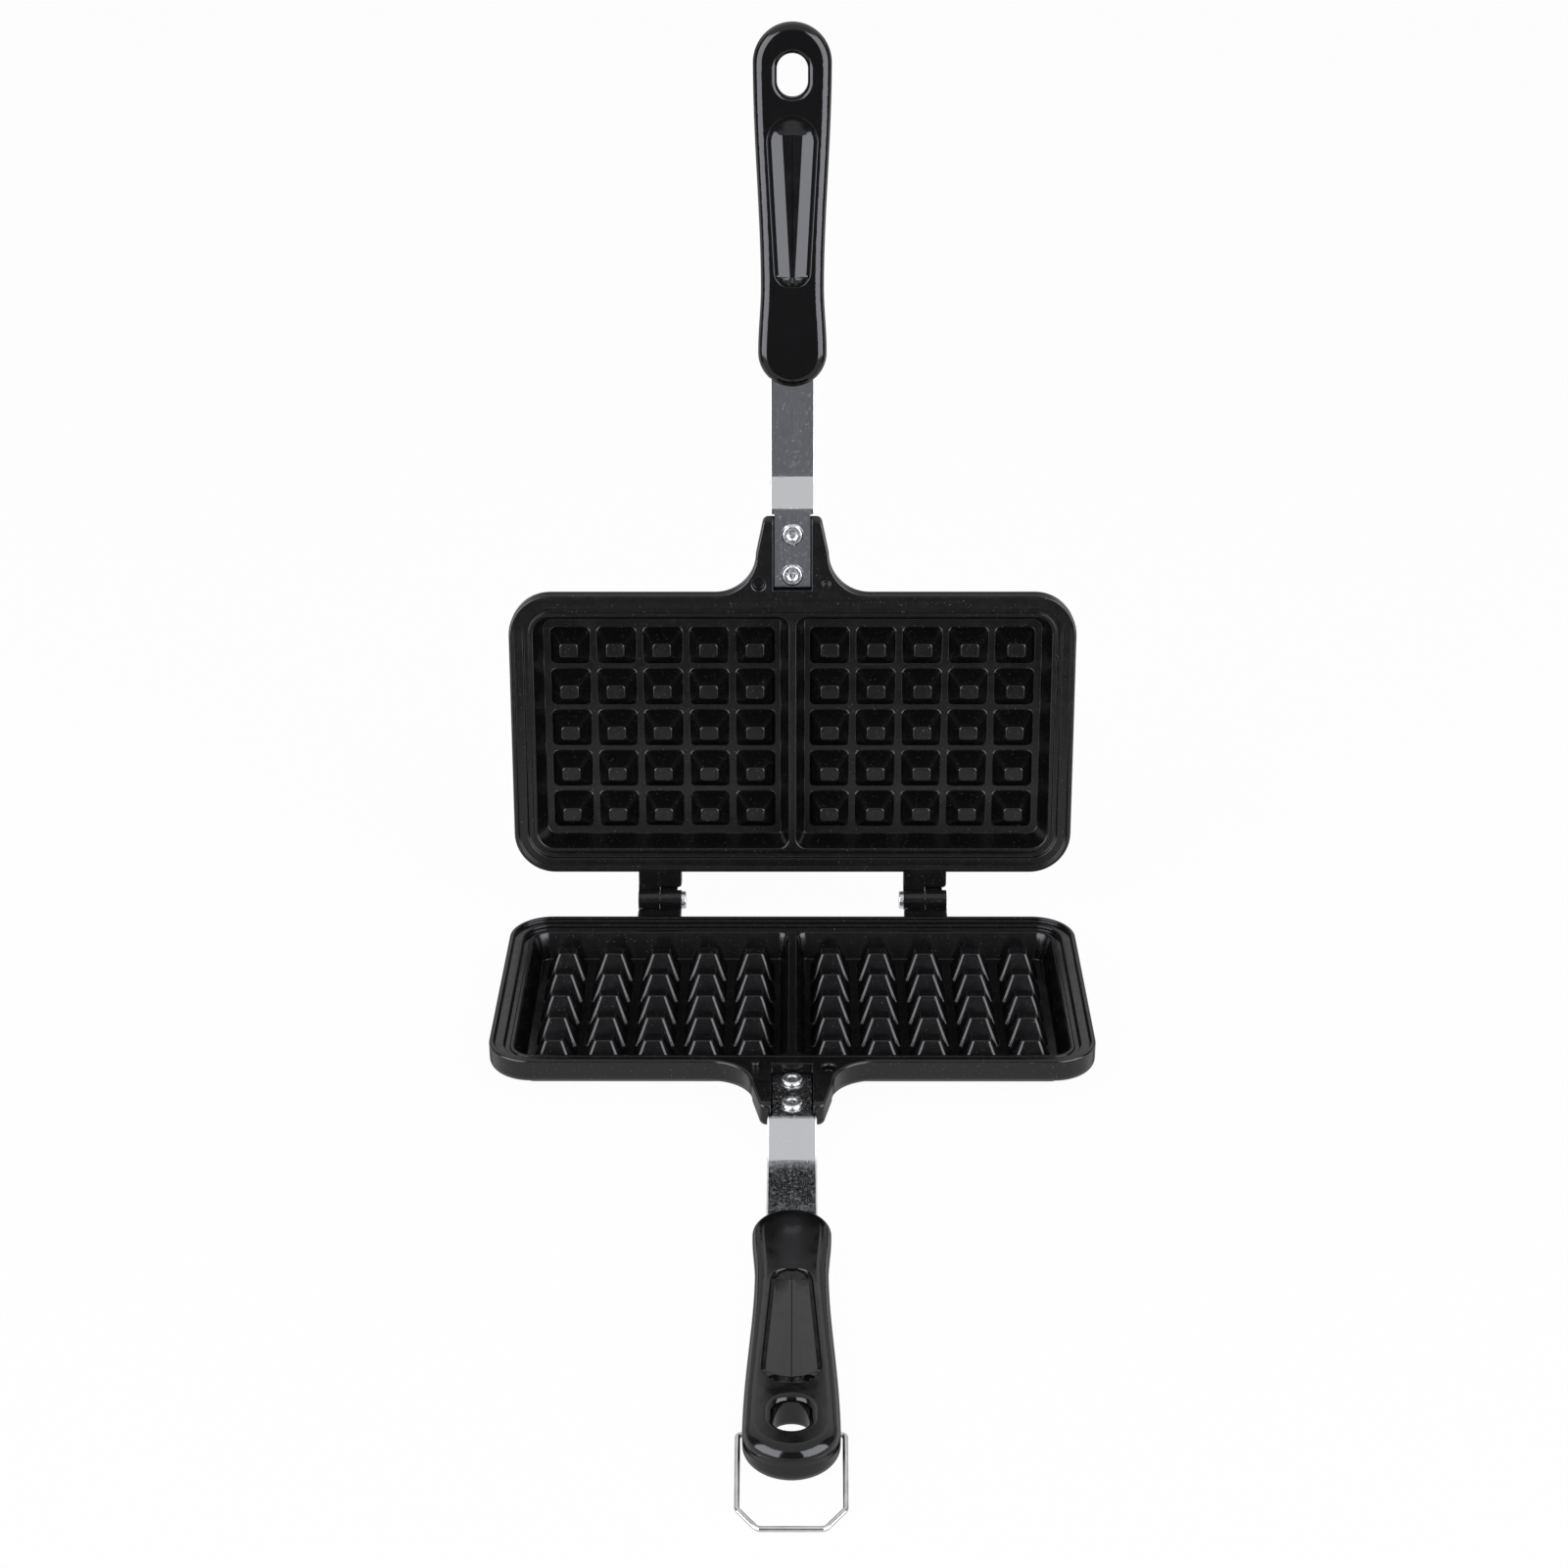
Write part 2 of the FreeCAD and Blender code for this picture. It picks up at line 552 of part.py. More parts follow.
def knuckle(body, side):
    """One knuckle on the right half of its tab, with the heel that stops the lid."""
    start = f"{side} * hinge_offset + knuckle_play / 2"
    length = "tab_width / 2 - knuckle_play / 2"
    barrel = new_sketch(body, "BarrelOutline", "YZ_Plane", start)
    circle(barrel, "0", "0", "knuckle_radius")
    pad(body, barrel, length, "Barrel")
    web = new_sketch(body, "WebOutline", "YZ_Plane", start)
    inner = "-(knuckle_radius + knuckle_gap + lap)"
    polygon(web, [("0", "-knuckle_radius"), ("0", RIM_TOP), (inner, RIM_TOP),
                  (inner, f"{RIM_TOP} - tab_height")])
    pad(body, web, length, "Web")
    heel = new_sketch(body, "HeelOutline", "YZ_Plane", start)
    lean = "(open_angle - 90)"
    face = "(knuckle_radius + knuckle_gap - stop_gap)"
    spots = (("0", face), ("heel_reach", face), ("heel_reach", "-heel_drop"), ("0", "-knuckle_radius"))
    polygon(heel, [(f"{along} * cos({lean}) + {up} * sin({lean})",
                    f"{up} * cos({lean}) - {along} * sin({lean})") for along, up in spots])
    pad(body, heel, f"{length} - heel_relief", "Heel")


def knuckle_bore(body, side, radius):
    """The pin's bore through the knuckle on one side."""
    bore = new_sketch(body, "KnuckleBore", "YZ_Plane", f"{side} * hinge_offset - tab_width")
    circle(bore, "0", "0", radius)
    pocket(body, bore, "2 * tab_width", "Bore", reverse=True)


def neck_details(body):
    """The strap's recess, the rivet holes, and the peg and hole that line up the halves."""
    recess = new_sketch(body, "RecessOutline", offset=RIM_TOP)
    half = "(tongue_width / 2 + seat_clearance)"
    rectangle(recess, f"-{half}", half, f"{NECK_TIP} - overrun", f"{FRONT} - tongue_start + seat_clearance")
    pocket(body, recess, f"{RIM_TOP} - {RECESS_FLOOR}", "Recess")
    rivet_holes(body, "rivet_radius + rivet_clearance", "RivetHoles")
    socket = new_sketch(body, "PegSocketOutline", offset=RIM_TOP)
    circle(socket, "peg_offset", f"{FRONT} - peg_reach", "socket_radius")
    pocket(body, socket, "socket_depth", "PegSocket")
    mouth = edge_names(body.Shape, round_at("peg_offset", f"{FRONT} - peg_reach", RIM_TOP))
    fillet(body, mouth, "socket_mouth_radius", "SocketMouth")
    peg = new_sketch(body, "PegOutline", offset=f"{RIM_TOP} - lap")
    circle(peg, "-peg_offset", f"{FRONT} - peg_reach", "peg_radius")
    pad(body, peg, "peg_height + lap", "Peg")
    fillet(body, edge_names(body.Shape, level(f"{RIM_TOP} + peg_height")), "peg_edge_radius", "PegTip")


def casting():
    """The cast plate. Both halves are the same casting: turned over, each knuckle meets a gap."""
    body = new_body("casting")
    rim_and_neck(body)
    pan(body)
    rim_steps(body)
    cavities(body)
    for side in (-1, 1):
        knuckle(body, side)
    knuckle_bore(body, -1, "pin_radius")
    knuckle_bore(body, 1, "pin_radius + pin_clearance")
    neck_details(body)
    pyramids(body)
    return body


def copy_of(source, name, placement):
    """A body that takes its form from another and has a place of its own."""
    body = new_body(name)
    body.BaseFeature = source
    doc.recompute()
    body.Placement = placement
    return body


def along_strap(reach, depth):
    """A point on the strap's outer length: its reach from the second bend and depth in the sheet."""
    second = f"{FRONT} - step_start - step_run"
    fall = "tongue_drop + step_fall"
    across = f"{second} - ({reach}) * cos({HANDLE_TILT}) - ({depth}) * sin({HANDLE_TILT})"
    return across, f"({reach}) * sin({HANDLE_TILT}) - ({fall}) - ({depth}) * cos({HANDLE_TILT})"


STEP = "atan(step_fall / step_run)"
TANG_REACH = f"((grip_start - step_start - step_run) / cos({HANDLE_TILT}) + tang_length)"


def strap_corners():
    """The strap seen from the side, with sharp bends."""
    first = f"{FRONT} - step_start"
    turn = f"({STEP} + {HANDLE_TILT})"
    second_y = f"{first} - step_run"
    second_z = "-(tongue_drop + step_fall)"
    shift_y = f"strap_thickness * (sin({STEP}) - sin({HANDLE_TILT})) / (1 + cos({turn}))"
    shift_z = f"strap_thickness * (cos({STEP}) + cos({HANDLE_TILT})) / (1 + cos({turn}))"
    upper = [(f"{FRONT} - tongue_start", TONGUE_FACE), (first, TONGUE_FACE), (second_y, second_z),
             along_strap(TANG_REACH, "0")]
    lower = [along_strap(TANG_REACH, "strap_thickness"),
             (f"{second_y} + {shift_y}", f"{second_z} - {shift_z}"),
             (f"{first} + strap_thickness * tan({STEP} / 2)", RECESS_FLOOR),
             (f"{FRONT} - tongue_start", RECESS_FLOOR)]
    return upper + lower


def across_at(corner):
    """A test for edges that run left to right through a corner of the side view."""
    y, z = value(corner[0]), value(corner[1])

    def test(box):
        there = abs(box.Center.y - y) < TOUCH and abs(box.Center.z - z) < TOUCH
        return there and box.YLength < TOUCH and box.ZLength < TOUCH
    return test


def rivet_holes(body, radius, name):
    """Both rivet holes straight down through a piece."""
    holes = new_sketch(body, name, offset=RIM_TOP)
    for number in range(RIVETS):
        circle(holes, "0", f"{FRONT} - rivet_first - {number} * rivet_pitch", radius)
    pocket(body, holes, "rim_height", name + "Cut")


def shoulder_sketch(body):
    """What is cut away beside the tongue, with the strap's shoulders left round."""
    sketch = new_sketch(body, "Shoulders", offset=RIM_TOP)
    tongue, edge = value("tongue_width / 2"), value("strap_width / 2")
    front, shoulder = value(FRONT), value(f"{FRONT} - shoulder_start")
    soft, beyond = value("shoulder_radius"), value("overrun")
    for side in (-1, 1):
        round_end = Part.Circle(FreeCAD.Vector(side * (edge - soft), shoulder - soft, 0),
                                FreeCAD.Vector(0, 0, 1), soft)
        start = 0 if side > 0 else math.pi / 2
        sketch.addGeometry(Part.ArcOfCircle(round_end, start, start + math.pi / 2))
        outline = [(edge, shoulder - soft), (edge + beyond, shoulder - soft), (edge + beyond, front),
                   (tongue, front), (tongue, shoulder), (edge - soft, shoulder)]
        for (x0, y0), (x1, y1) in zip(outline, outline[1:]):
            start, end = FreeCAD.Vector(side * x0, y0, 0), FreeCAD.Vector(side * x1, y1, 0)
            sketch.addGeometry(Part.LineSegment(start, end))
    return sketch


def strap(name, placement):
    """The bent strap: a narrow tongue on the neck, a slope, and a length that runs into the grip."""
    body = new_body(name)
    side = new_sketch(body, "SideView", "YZ_Plane")
    corners = strap_corners()
    polygon(side, corners)
    pad(body, side, "strap_width", "Sheet", both=True)
    for name, radius, inner, outer in (("First", "first_bend_radius", 6, 1),
                                       ("Second", "second_bend_radius", 2, 5)):
        inside = edge_names(body.Shape, across_at(corners[inner]))
        fillet(body, inside, radius, name + "BendInside")
        outside = edge_names(body.Shape, across_at(corners[outer]))
        fillet(body, outside, f"{radius} + strap_thickness", name + "BendOutside")
    half = value("strap_thickness / 2")
    long_edges = edge_names(body.Shape, lambda box: box.XLength < TOUCH and box.YLength > half)
    fillet(body, long_edges, "strap_edge_radius", "LongEdges")
    pocket(body, shoulder_sketch(body), "rim_height", "Tongue")
    rivet_holes(body, "rivet_radius + rivet_clearance", "RivetHoles")
    hole = new_sketch(body, "ScrewHole", offset=UNDERSIDE)
    circle(hole, "0", f"{GRIP_NEAR} - screw_inset", "screw_radius")
    pocket(body, hole, "underside_drop", "ScrewCut", reverse=True)
    body.Placement = placement
    return body


def revolved(name, outline, across, height, placement):
    """A turned piece on an upright axis, from half its section given as radius and height."""
    body = new_body(name)
    section = new_sketch(body, "Section", "YZ_Plane")
    polygon(section, [(radius, f"{height} + ({rise})") for radius, rise in outline])
    turn = body.newObject("PartDesign::Revolution", "Turned")
    turn.Profile = section
    turn.ReferenceAxis = (section, ["V_Axis"])
    turn.Angle = 360
    doc.recompute()
    body.Placement = placement.multiply(FreeCAD.Placement(
        FreeCAD.Vector(0, value(across), 0), FreeCAD.Rotation()))
    return body


def rivet(name, across, placement):
    """A rivet with a dished head on the strap and an upset tail under the neck."""
    tail = f"{RIM_FOOT} - ({TONGUE_FACE})"
    outline = [
        ("0", "rivet_head_height - rivet_dish_depth"),
        ("rivet_dish_radius - rivet_dish_depth", "rivet_head_height - rivet_dish_depth"),
        ("rivet_dish_radius", "rivet_head_height"),
        ("rivet_head_radius - rivet_bevel", "rivet_head_height"),
        ("rivet_head_radius", "rivet_head_height - rivet_bevel"),
        ("rivet_head_radius", "0"),
        ("rivet_radius", "0"),
        ("rivet_radius", tail),
        ("rivet_tail_radius", tail),
        ("rivet_tail_radius - rivet_tail_height / 2", f"{tail} - rivet_tail_height"),
        ("0", f"{tail} - rivet_tail_height"),
    ]
    return revolved(name, outline, across, TONGUE_FACE, placement)


def screw(name, placement):
    """The countersunk screw that holds the grip on the strap."""
    outline = [
        ("0", "0"),
        ("screw_head_radius", "0"),
        ("screw_radius", "screw_head_height"),
        ("screw_radius", "screw_length"),
        ("0", "screw_length"),
    ]
    body = revolved(name, outline, f"{GRIP_NEAR} - screw_inset", f"{UNDERSIDE} + screw_sink", placement)
    slot = new_sketch(body, "Slot", offset=f"{UNDERSIDE} + screw_sink")
    half = "screw_slot_width / 2"
    rectangle(slot, "-screw_head_radius", "screw_head_radius", f"-{half}", half)
    pocket(body, slot, "screw_slot_depth", "SlotCut", reverse=True)
    return body


def hinge_pin(name, placement):
    """The pin of the left hinge: pressed into the plate's own knuckle, with its head inboard."""
    body = new_body(name)
    inner_face = "-hinge_offset + tab_width / 2"
    shank = new_sketch(body, "Shank", "YZ_Plane", f"-hinge_offset - tab_width / 2 + pin_end_inset")
    circle(shank, "0", "0", "pin_radius")
    pad(body, shank, "tab_width - pin_end_inset", "ShankPad")
    head = new_sketch(body, "Head", "YZ_Plane", inner_face)
    circle(head, "0", "0", "pin_head_radius")
    pad(body, head, "pin_head_height", "HeadPad")
    place = value(f"{inner_face} + pin_head_height")
    rim = edge_names(body.Shape, lambda box: abs(box.XMin - place) < TOUCH and box.XLength < TOUCH)
    fillet(body, rim, "pin_head_edge_radius", "HeadEdge")
    body.Placement = placement
    return body


def grip_outline(body):
    """The grip from above: round ends, and a waist that the fingers close round."""
    sketch = new_sketch(body, "GripOutline", offset=UNDERSIDE)
    near, far = value("grip_near_radius"), value("grip_far_radius")
    near_y, far_y = value(f"{GRIP_NEAR} - grip_near_radius"), value(f"{GRIP_FAR} + grip_far_radius")
    waist = (value("waist_width / 2"), value(f"{GRIP_NEAR} - waist_reach"))
    up, back = FreeCAD.Vector(0, 0, 1), FreeCAD.Vector(0, -1, 0)
    for start, y, radius in ((0, near_y, near), (math.pi, far_y, far)):
        round_end = Part.Circle(FreeCAD.Vector(0, y, 0), up, radius)
        sketch.addGeometry(Part.ArcOfCircle(round_end, start, start + math.pi))
    for side in (-1, 1):
        points = [FreeCAD.Vector(side * near, near_y, 0), FreeCAD.Vector(side * waist[0], waist[1], 0),
                  FreeCAD.Vector(side * far, far_y, 0)]
        curve = Part.BSplineCurve()
        curve.interpolate(Points=points, Tangents=[back] * len(points), TangentFlags=[True] * len(points))
        sketch.addGeometry(curve)
    return sketch


def edges_of(shape, test):
    """Names of the edges round the flat faces that pass a test."""
    picked = []
    for face in shape.Faces:
        if isinstance(face.Surface, Part.Plane) and test(face):
            picked += [edge for edge in face.Edges]
    return [f"Edge{number}" for number, edge in enumerate(shape.Edges, start=1)
            if any(edge.isSame(other) for other in picked)]


def hang_hole(body):
    """The long hole near the grip's far end."""
    hole = new_sketch(body, "HangHole", offset=UNDERSIDE)
    low = f"{GRIP_FAR} + hang_hole_inset"
    rounded_rectangle(hole, "-hang_hole_width / 2", "hang_hole_width / 2", low,
                      f"{low} + hang_hole_length", "hang_hole_width / 2 - hang_hole_flat / 2")
    pocket(body, hole, "underside_drop", "HangHoleCut", reverse=True)


def pivot_holes(body):
    """Blind holes in both sides of the grip for the ends of the bail."""
    for side in (-1, 1):
        deep = f"{side} * (grip_far_radius - pivot_depth)"
        hole = new_sketch(body, "PivotHole", "YZ_Plane", deep)
        circle(hole, PIVOT_Y, PIVOT_Z, "wire_radius + pivot_clearance")
        pocket(body, hole, "pivot_depth + overrun", "PivotHoleCut", reverse=side > 0)


def slot_corners():
    """The slot for the strap seen from the side."""
    out = f"((grip_start - step_start - step_run) / cos({HANDLE_TILT}) - overrun)"
    reach = f"({TANG_REACH} + tang_clearance)"
    low = "(strap_thickness + tang_clearance)"
    return [along_strap(out, "-tang_clearance"), along_strap(reach, "-tang_clearance"),
            along_strap(reach, low), along_strap(out, low)]


def screw_hole(body):
    """The countersunk hole for the screw, up from the grip's outer face."""
    spot = f"{GRIP_NEAR} - screw_inset"
    hole = new_sketch(body, "ScrewHole", offset=UNDERSIDE)
    circle(hole, "0", spot, "screw_radius + screw_clearance")
    pocket(body, hole, "screw_length + screw_sink + screw_clearance", "ScrewCut", reverse=True)
    mouth = new_sketch(body, "ScrewMouth", offset=UNDERSIDE)
    circle(mouth, "0", spot, "screw_head_radius + screw_clearance")
    pocket(body, mouth, "screw_sink + screw_clearance", "ScrewMouthCut", reverse=True)
    cone = body.newObject("PartDesign::SubtractiveCone", "Countersink")
    bind(cone, Radius1="screw_head_radius + screw_clearance", Radius2="screw_radius + screw_clearance",
         Height="screw_head_height")
    cone.AttachmentSupport = [(origin_plane(body, "XY_Plane"), "")]
    cone.MapMode = "FlatFace"
    cone.setExpression(".AttachmentOffset.Base.y", bound(spot))
    cone.setExpression(".AttachmentOffset.Base.z", bound(f"{UNDERSIDE} + screw_sink + screw_clearance"))
    body.Tip = cone
    doc.recompute()


def thumb_sections():
    """The thumb groove at four stations: place, half widths of mouth and floor, crease, depth share."""
    wide_y = f"{GRIP_FAR} + thumb_inset"
    narrow_y = f"{wide_y} + thumb_length"
    wide = ("thumb_wide / 2", "thumb_floor_wide / 2", "thumb_crease")
    narrow_crease = "thumb_crease * thumb_floor_narrow / thumb_floor_wide"
    narrow = ("thumb_narrow / 2", "thumb_floor_narrow / 2", narrow_crease)
    end_share = "thumb_end_depth / thumb_depth"
    return [(narrow_y, *narrow, end_share), (f"{narrow_y} - thumb_narrow_ramp", *narrow, "1"),
            (f"{wide_y} + thumb_wide_ramp", *wide, "1"), (wide_y, *wide, end_share)]


def face_height(place):
    """Height of the grip's inner face at a place along it."""
    return f"(({GRIP_NEAR} - ({place})) * tan({HANDLE_TILT}) - grip_near_drop)"


def thumb_tool(name):
    """The form that cuts the thumb groove: a tapered V held inside a round-ended outline."""
    sections = []
    for number, (place, half, floor, crease, depth_share) in enumerate(thumb_sections()):
        sketch = new_sketch(None, f"{name}_section_{number}", "XZ_Plane", f"-({place})")
        face = face_height(place)
        side = f"{face} - thumb_depth * ({depth_share})"
        lean = f"({half} - {floor}) / ((thumb_depth - thumb_wall) * ({depth_share}))"
        mouth = f"({half} + (thumb_wall * ({depth_share}) + overrun) * {lean})"
        above = f"{face} + overrun"
        polygon(sketch, [("0", f"{side} - {crease} * ({depth_share})"), (floor, side),
                         (mouth, above), (f"-{mouth}", above), (f"-{floor}", side)])
        sections.append(sketch)
    wedge = doc.addObject("Part::Loft", name + "_wedge")
    wedge.Sections = sections
    wedge.Solid = True
    wedge.Ruled = True
    outline = thumb_outline(name + "_outline")
    block = doc.addObject("Part::Extrusion", name + "_block")
    block.Base = outline
    block.DirMode = "Normal"
    block.Solid = True
    bind(block, LengthFwd="underside_drop")
    tool = doc.addObject("Part::Common", name + "_form")
    tool.Base = wedge
    tool.Tool = block
    doc.recompute()
    return tool


def thumb_outline(name):
    """Outline of the thumb groove from above, a taper with a round wide end and round corners."""
    sketch = new_sketch(None, name, "XY_Plane", UNDERSIDE)
    wide, narrow = value("thumb_wide / 2"), value("thumb_narrow / 2")
    low = value(f"{GRIP_FAR} + thumb_inset")
    high = low + value("thumb_length")
    round_end = value("thumb_corner_radius")
    up = FreeCAD.Vector(0, 0, 1)
    wide_end = Part.Circle(FreeCAD.Vector(0, low + wide, 0), up, wide)
    sketch.addGeometry(Part.ArcOfCircle(wide_end, math.pi, 2 * math.pi))
    sketch.addGeometry(Part.LineSegment(FreeCAD.Vector(round_end - narrow, high, 0),
                                        FreeCAD.Vector(narrow - round_end, high, 0)))
    for side, start, end in ((-1, math.pi / 2, math.pi), (1, 0, math.pi / 2)):
        centre = FreeCAD.Vector(side * (narrow - round_end), high - round_end, 0)
        sketch.addGeometry(Part.ArcOfCircle(Part.Circle(centre, up, round_end), start, end))
        sketch.addGeometry(Part.LineSegment(FreeCAD.Vector(side * narrow, high - round_end, 0),
                                            FreeCAD.Vector(side * wide, low + wide, 0)))
    return sketch


def grip(name, placement, pivots):
    """One moulded grip with its hanging hole, thumb groove and slot for the strap."""
    body = new_body(name + "_body")
    pad(body, grip_outline(body), "underside_drop", "Block")
    above = new_sketch(body, "InnerFace", "YZ_Plane")
    polygon(above, [(f"{GRIP_NEAR} + overrun", face_height(f"{GRIP_NEAR} + overrun")),
                    (f"{GRIP_FAR} - overrun", face_height(f"{GRIP_FAR} - overrun")),
                    (f"{GRIP_FAR} - overrun", "overrun"), (f"{GRIP_NEAR} + overrun", "overrun")])
    pocket(body, above, "2 * (grip_far_radius + overrun)", "InnerFaceCut", both=True)
    inner_face = edges_of(body.Shape, lambda face: face.normalAt(0, 0).z > LEVEL_SHARE)
    fillet(body, inner_face, "grip_upper_edge_radius", "UpperEdge")
    outer_face = edges_of(body.Shape, lambda face: face.normalAt(0, 0).z < -LEVEL_SHARE)
    fillet(body, outer_face, "grip_lower_edge_radius", "LowerEdge")
    hang_hole(body)
    mouths = edges_of(body.Shape, lambda face: abs(face.normalAt(0, 0).z) > LEVEL_SHARE)
    half = value("hang_hole_width / 2") + TOUCH
    inner = [edge for edge in mouths
             if abs(body.Shape.getElement(edge).BoundBox.XMin) < half
             and abs(body.Shape.getElement(edge).BoundBox.XMax) < half]
    fillet(body, inner, "hang_hole_edge_radius", "HangHoleMouths")
    slot = new_sketch(body, "StrapSlot", "YZ_Plane")
    polygon(slot, slot_corners())
    pocket(body, slot, "strap_width + 2 * tang_clearance", "StrapSlotCut", both=True)
    screw_hole(body)
    if pivots:
        pivot_holes(body)
    whole = doc.addObject("Part::Cut", name)
    whole.Label = name
    whole.Base = body
    whole.Tool = thumb_tool(name)
    whole.Placement = placement
    doc.recompute()
    return whole


def rounded_path(sketch, points, radii):
    """An open path of straight lines with an arc at each corner."""
    start = points[0]
    for before, corner, after, radius in zip(points, points[1:], points[2:], radii):
        into = (corner - before).normalize()
        out = (after - corner).normalize()
        turn = into.getAngle(out)
        trim = radius * math.tan(turn / 2)
        first, last = corner - into * trim, corner + out * trim
        middle = corner + (out - into).normalize() * (radius / math.cos(turn / 2) - radius)
        sketch.addGeometry(Part.LineSegment(start, first))
        sketch.addGeometry(Part.Arc(first, middle, last))
        start = last
    sketch.addGeometry(Part.LineSegment(start, points[-1]))


def bail(name, placement):
    """The wire bail lying towards -Y from its pivot axis, with its ends turned in."""
    body = new_body(name)
    leg, inner = value(LEG_X), value("grip_far_radius - pivot_depth + pivot_clearance")
    corner, bar, reach = value("bail_leg"), value("bail_bar / 2"), value("bail_reach")
    lean = value("bail_taper")
    half = [(inner, 0), (leg, 0), (leg - lean, -corner), (bar, -reach)]
    outline = [(-x, y) for x, y in half] + half[::-1]
    path = new_sketch(body, "Path", "XY_Plane")
    tight, wide = value("bail_pivot_bend_radius"), value("bail_bend_radius")
    points = [FreeCAD.Vector(x, y, 0) for x, y in outline]
    rounded_path(path, points, [tight, wide, wide, wide, wide, tight])
    wire = new_sketch(body, "Wire", "YZ_Plane", "-(grip_far_radius - pivot_depth + pivot_clearance)")
    circle(wire, "0", "0", "wire_radius")
    sweep = body.newObject("PartDesign::AdditivePipe", "Sweep")
    sweep.Profile = wire
    sweep.Spine = path
    doc.recompute()
    body.Placement = placement
    return body


def half(prefix, placement, pivots, cast_plate):
    """Everything that moves as one half of the pan."""
    pieces = [copy_of(cast_plate, f"{prefix}_plate", placement), strap(f"{prefix}_strap", placement)]
    for number, row in enumerate(("rear", "front")):
        across = f"{FRONT} - rivet_first - {number} * rivet_pitch"
        pieces.append(rivet(f"{prefix}_{row}_rivet", across, placement))
    pieces.append(grip(f"{prefix}_grip", placement, pivots))
    pieces.append(screw(f"{prefix}_grip_screw", placement))
    pieces.append(hinge_pin(f"{prefix}_hinge_pin", placement))
    return pieces


def assembly():
    """Both halves and the bail, placed as they stand: on the flat underside, lid raised to its stop."""
    right = FreeCAD.Vector(1, 0, 0)
    hinge = FreeCAD.Vector(0, value("hinge_setback + plate_depth / 2"), value("underside_drop"))
    lower = FreeCAD.Placement(hinge, FreeCAD.Rotation())
    turned = FreeCAD.Rotation(FreeCAD.Vector(0, 1, 0), 180)
    raised = FreeCAD.Rotation(right, -value("open_angle"))
    upper = FreeCAD.Placement(hinge, raised.multiply(turned))
    pivot = FreeCAD.Vector(0, value(PIVOT_Y), value(PIVOT_Z)) + hinge
    drop = math.degrees(math.asin((value("pivot_rise") - value("wire_radius")) / value("bail_reach")))
    resting = FreeCAD.Placement(pivot, FreeCAD.Rotation(right, drop))
    cast_plate = casting()
    return (half("lower", lower, True, cast_plate) + half("upper", upper, False, cast_plate)
            + [bail("bail", resting)])


def check(pieces):
    """Stop when an object is broken or a piece is not one sound solid."""
    for item in doc.Objects:
        if {"Invalid", "Error"} & set(item.State):
            raise ValueError(f"{item.Name} is not sound: {item.State}")
    for piece in pieces:
        shape = piece.Shape
        if shape.isNull() or not shape.isValid() or len(shape.Solids) != 1:
            raise ValueError(f"{piece.Label} is not one sound solid")


pieces = assembly()
doc.recompute()
check(pieces)
os.makedirs("parts", exist_ok=True)
for piece in pieces:
    piece.Shape.exportStep(f"parts/{piece.Label}.step")
    print(piece.Label, round(piece.Shape.Volume, 1))
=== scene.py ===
"""Looks of the double-sided waffle pan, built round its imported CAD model."""

import json
import math

import bmesh
import bpy
from mathutils import Matrix, Vector


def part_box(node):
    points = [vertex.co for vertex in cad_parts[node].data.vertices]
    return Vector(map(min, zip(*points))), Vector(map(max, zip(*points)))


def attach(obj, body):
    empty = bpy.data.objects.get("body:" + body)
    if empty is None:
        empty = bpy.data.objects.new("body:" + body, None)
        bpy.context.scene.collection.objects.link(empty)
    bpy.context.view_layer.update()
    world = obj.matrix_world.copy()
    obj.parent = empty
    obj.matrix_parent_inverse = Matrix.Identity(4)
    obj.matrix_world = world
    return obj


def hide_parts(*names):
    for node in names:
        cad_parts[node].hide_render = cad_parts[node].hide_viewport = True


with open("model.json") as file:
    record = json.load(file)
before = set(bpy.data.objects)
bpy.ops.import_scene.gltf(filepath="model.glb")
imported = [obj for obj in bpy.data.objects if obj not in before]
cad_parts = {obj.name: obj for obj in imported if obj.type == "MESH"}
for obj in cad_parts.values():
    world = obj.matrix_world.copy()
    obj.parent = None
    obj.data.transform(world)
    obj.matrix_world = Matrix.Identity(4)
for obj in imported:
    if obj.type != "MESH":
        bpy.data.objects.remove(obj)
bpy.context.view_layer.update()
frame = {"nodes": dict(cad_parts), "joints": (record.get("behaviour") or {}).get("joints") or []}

bl_info = {
    "name": "Waffle Pan Looks",
    "version": (1, 0, 0),
    "blender": (4, 5, 0),
    "location": "3D View > Sidebar > Waffle Pan",
    "description": "Softens and dresses the cast plates, straps, grips and bail of a waffle pan",
    "category": "Object",
}

MM = 0.001
HALVES = ("lower", "upper")

STRAP_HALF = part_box("lower_strap")[1][0]
HINGE = next(joint for joint in frame["joints"] if joint["name"] == "lid_hinge")
HINGE_POINT = Vector(HINGE["pos_m"])
OPEN_ANGLE = math.radians(HINGE["range_deg"][1])

# Merging a CAD mesh: points closer than this are one, faces flatter than this are one
WELD_GAP = 0.002 * MM
FLAT_ANGLE = math.radians(0.2)

# Cutting a mesh along a plane: points this near take part in the cut, and lie on it afterwards
CUT_SNAP = 1e-7
CUT_REACH = 0.001 * MM

# In a half's own frame, with the origin on the hinge axis, the grip towards -Y and the cavities'
# openings towards +Z. Edges beyond HINGE_REACH belong to the hinge knuckles
HINGE_REACH = -10.5 * MM

# The grip's ends and the middles of their round walls
GRIP_NEAR = -178.45 * MM
GRIP_FAR = -296.95 * MM
NEAR_MIDDLE = GRIP_NEAR - 11.5 * MM
FAR_MIDDLE = GRIP_FAR + 12.85 * MM
# Holes and slots keep this near to those middles, and this near to the grip's own middle plane
END_HOLLOW = 10.5 * MM
SIDE_HOLLOW = 9.5 * MM

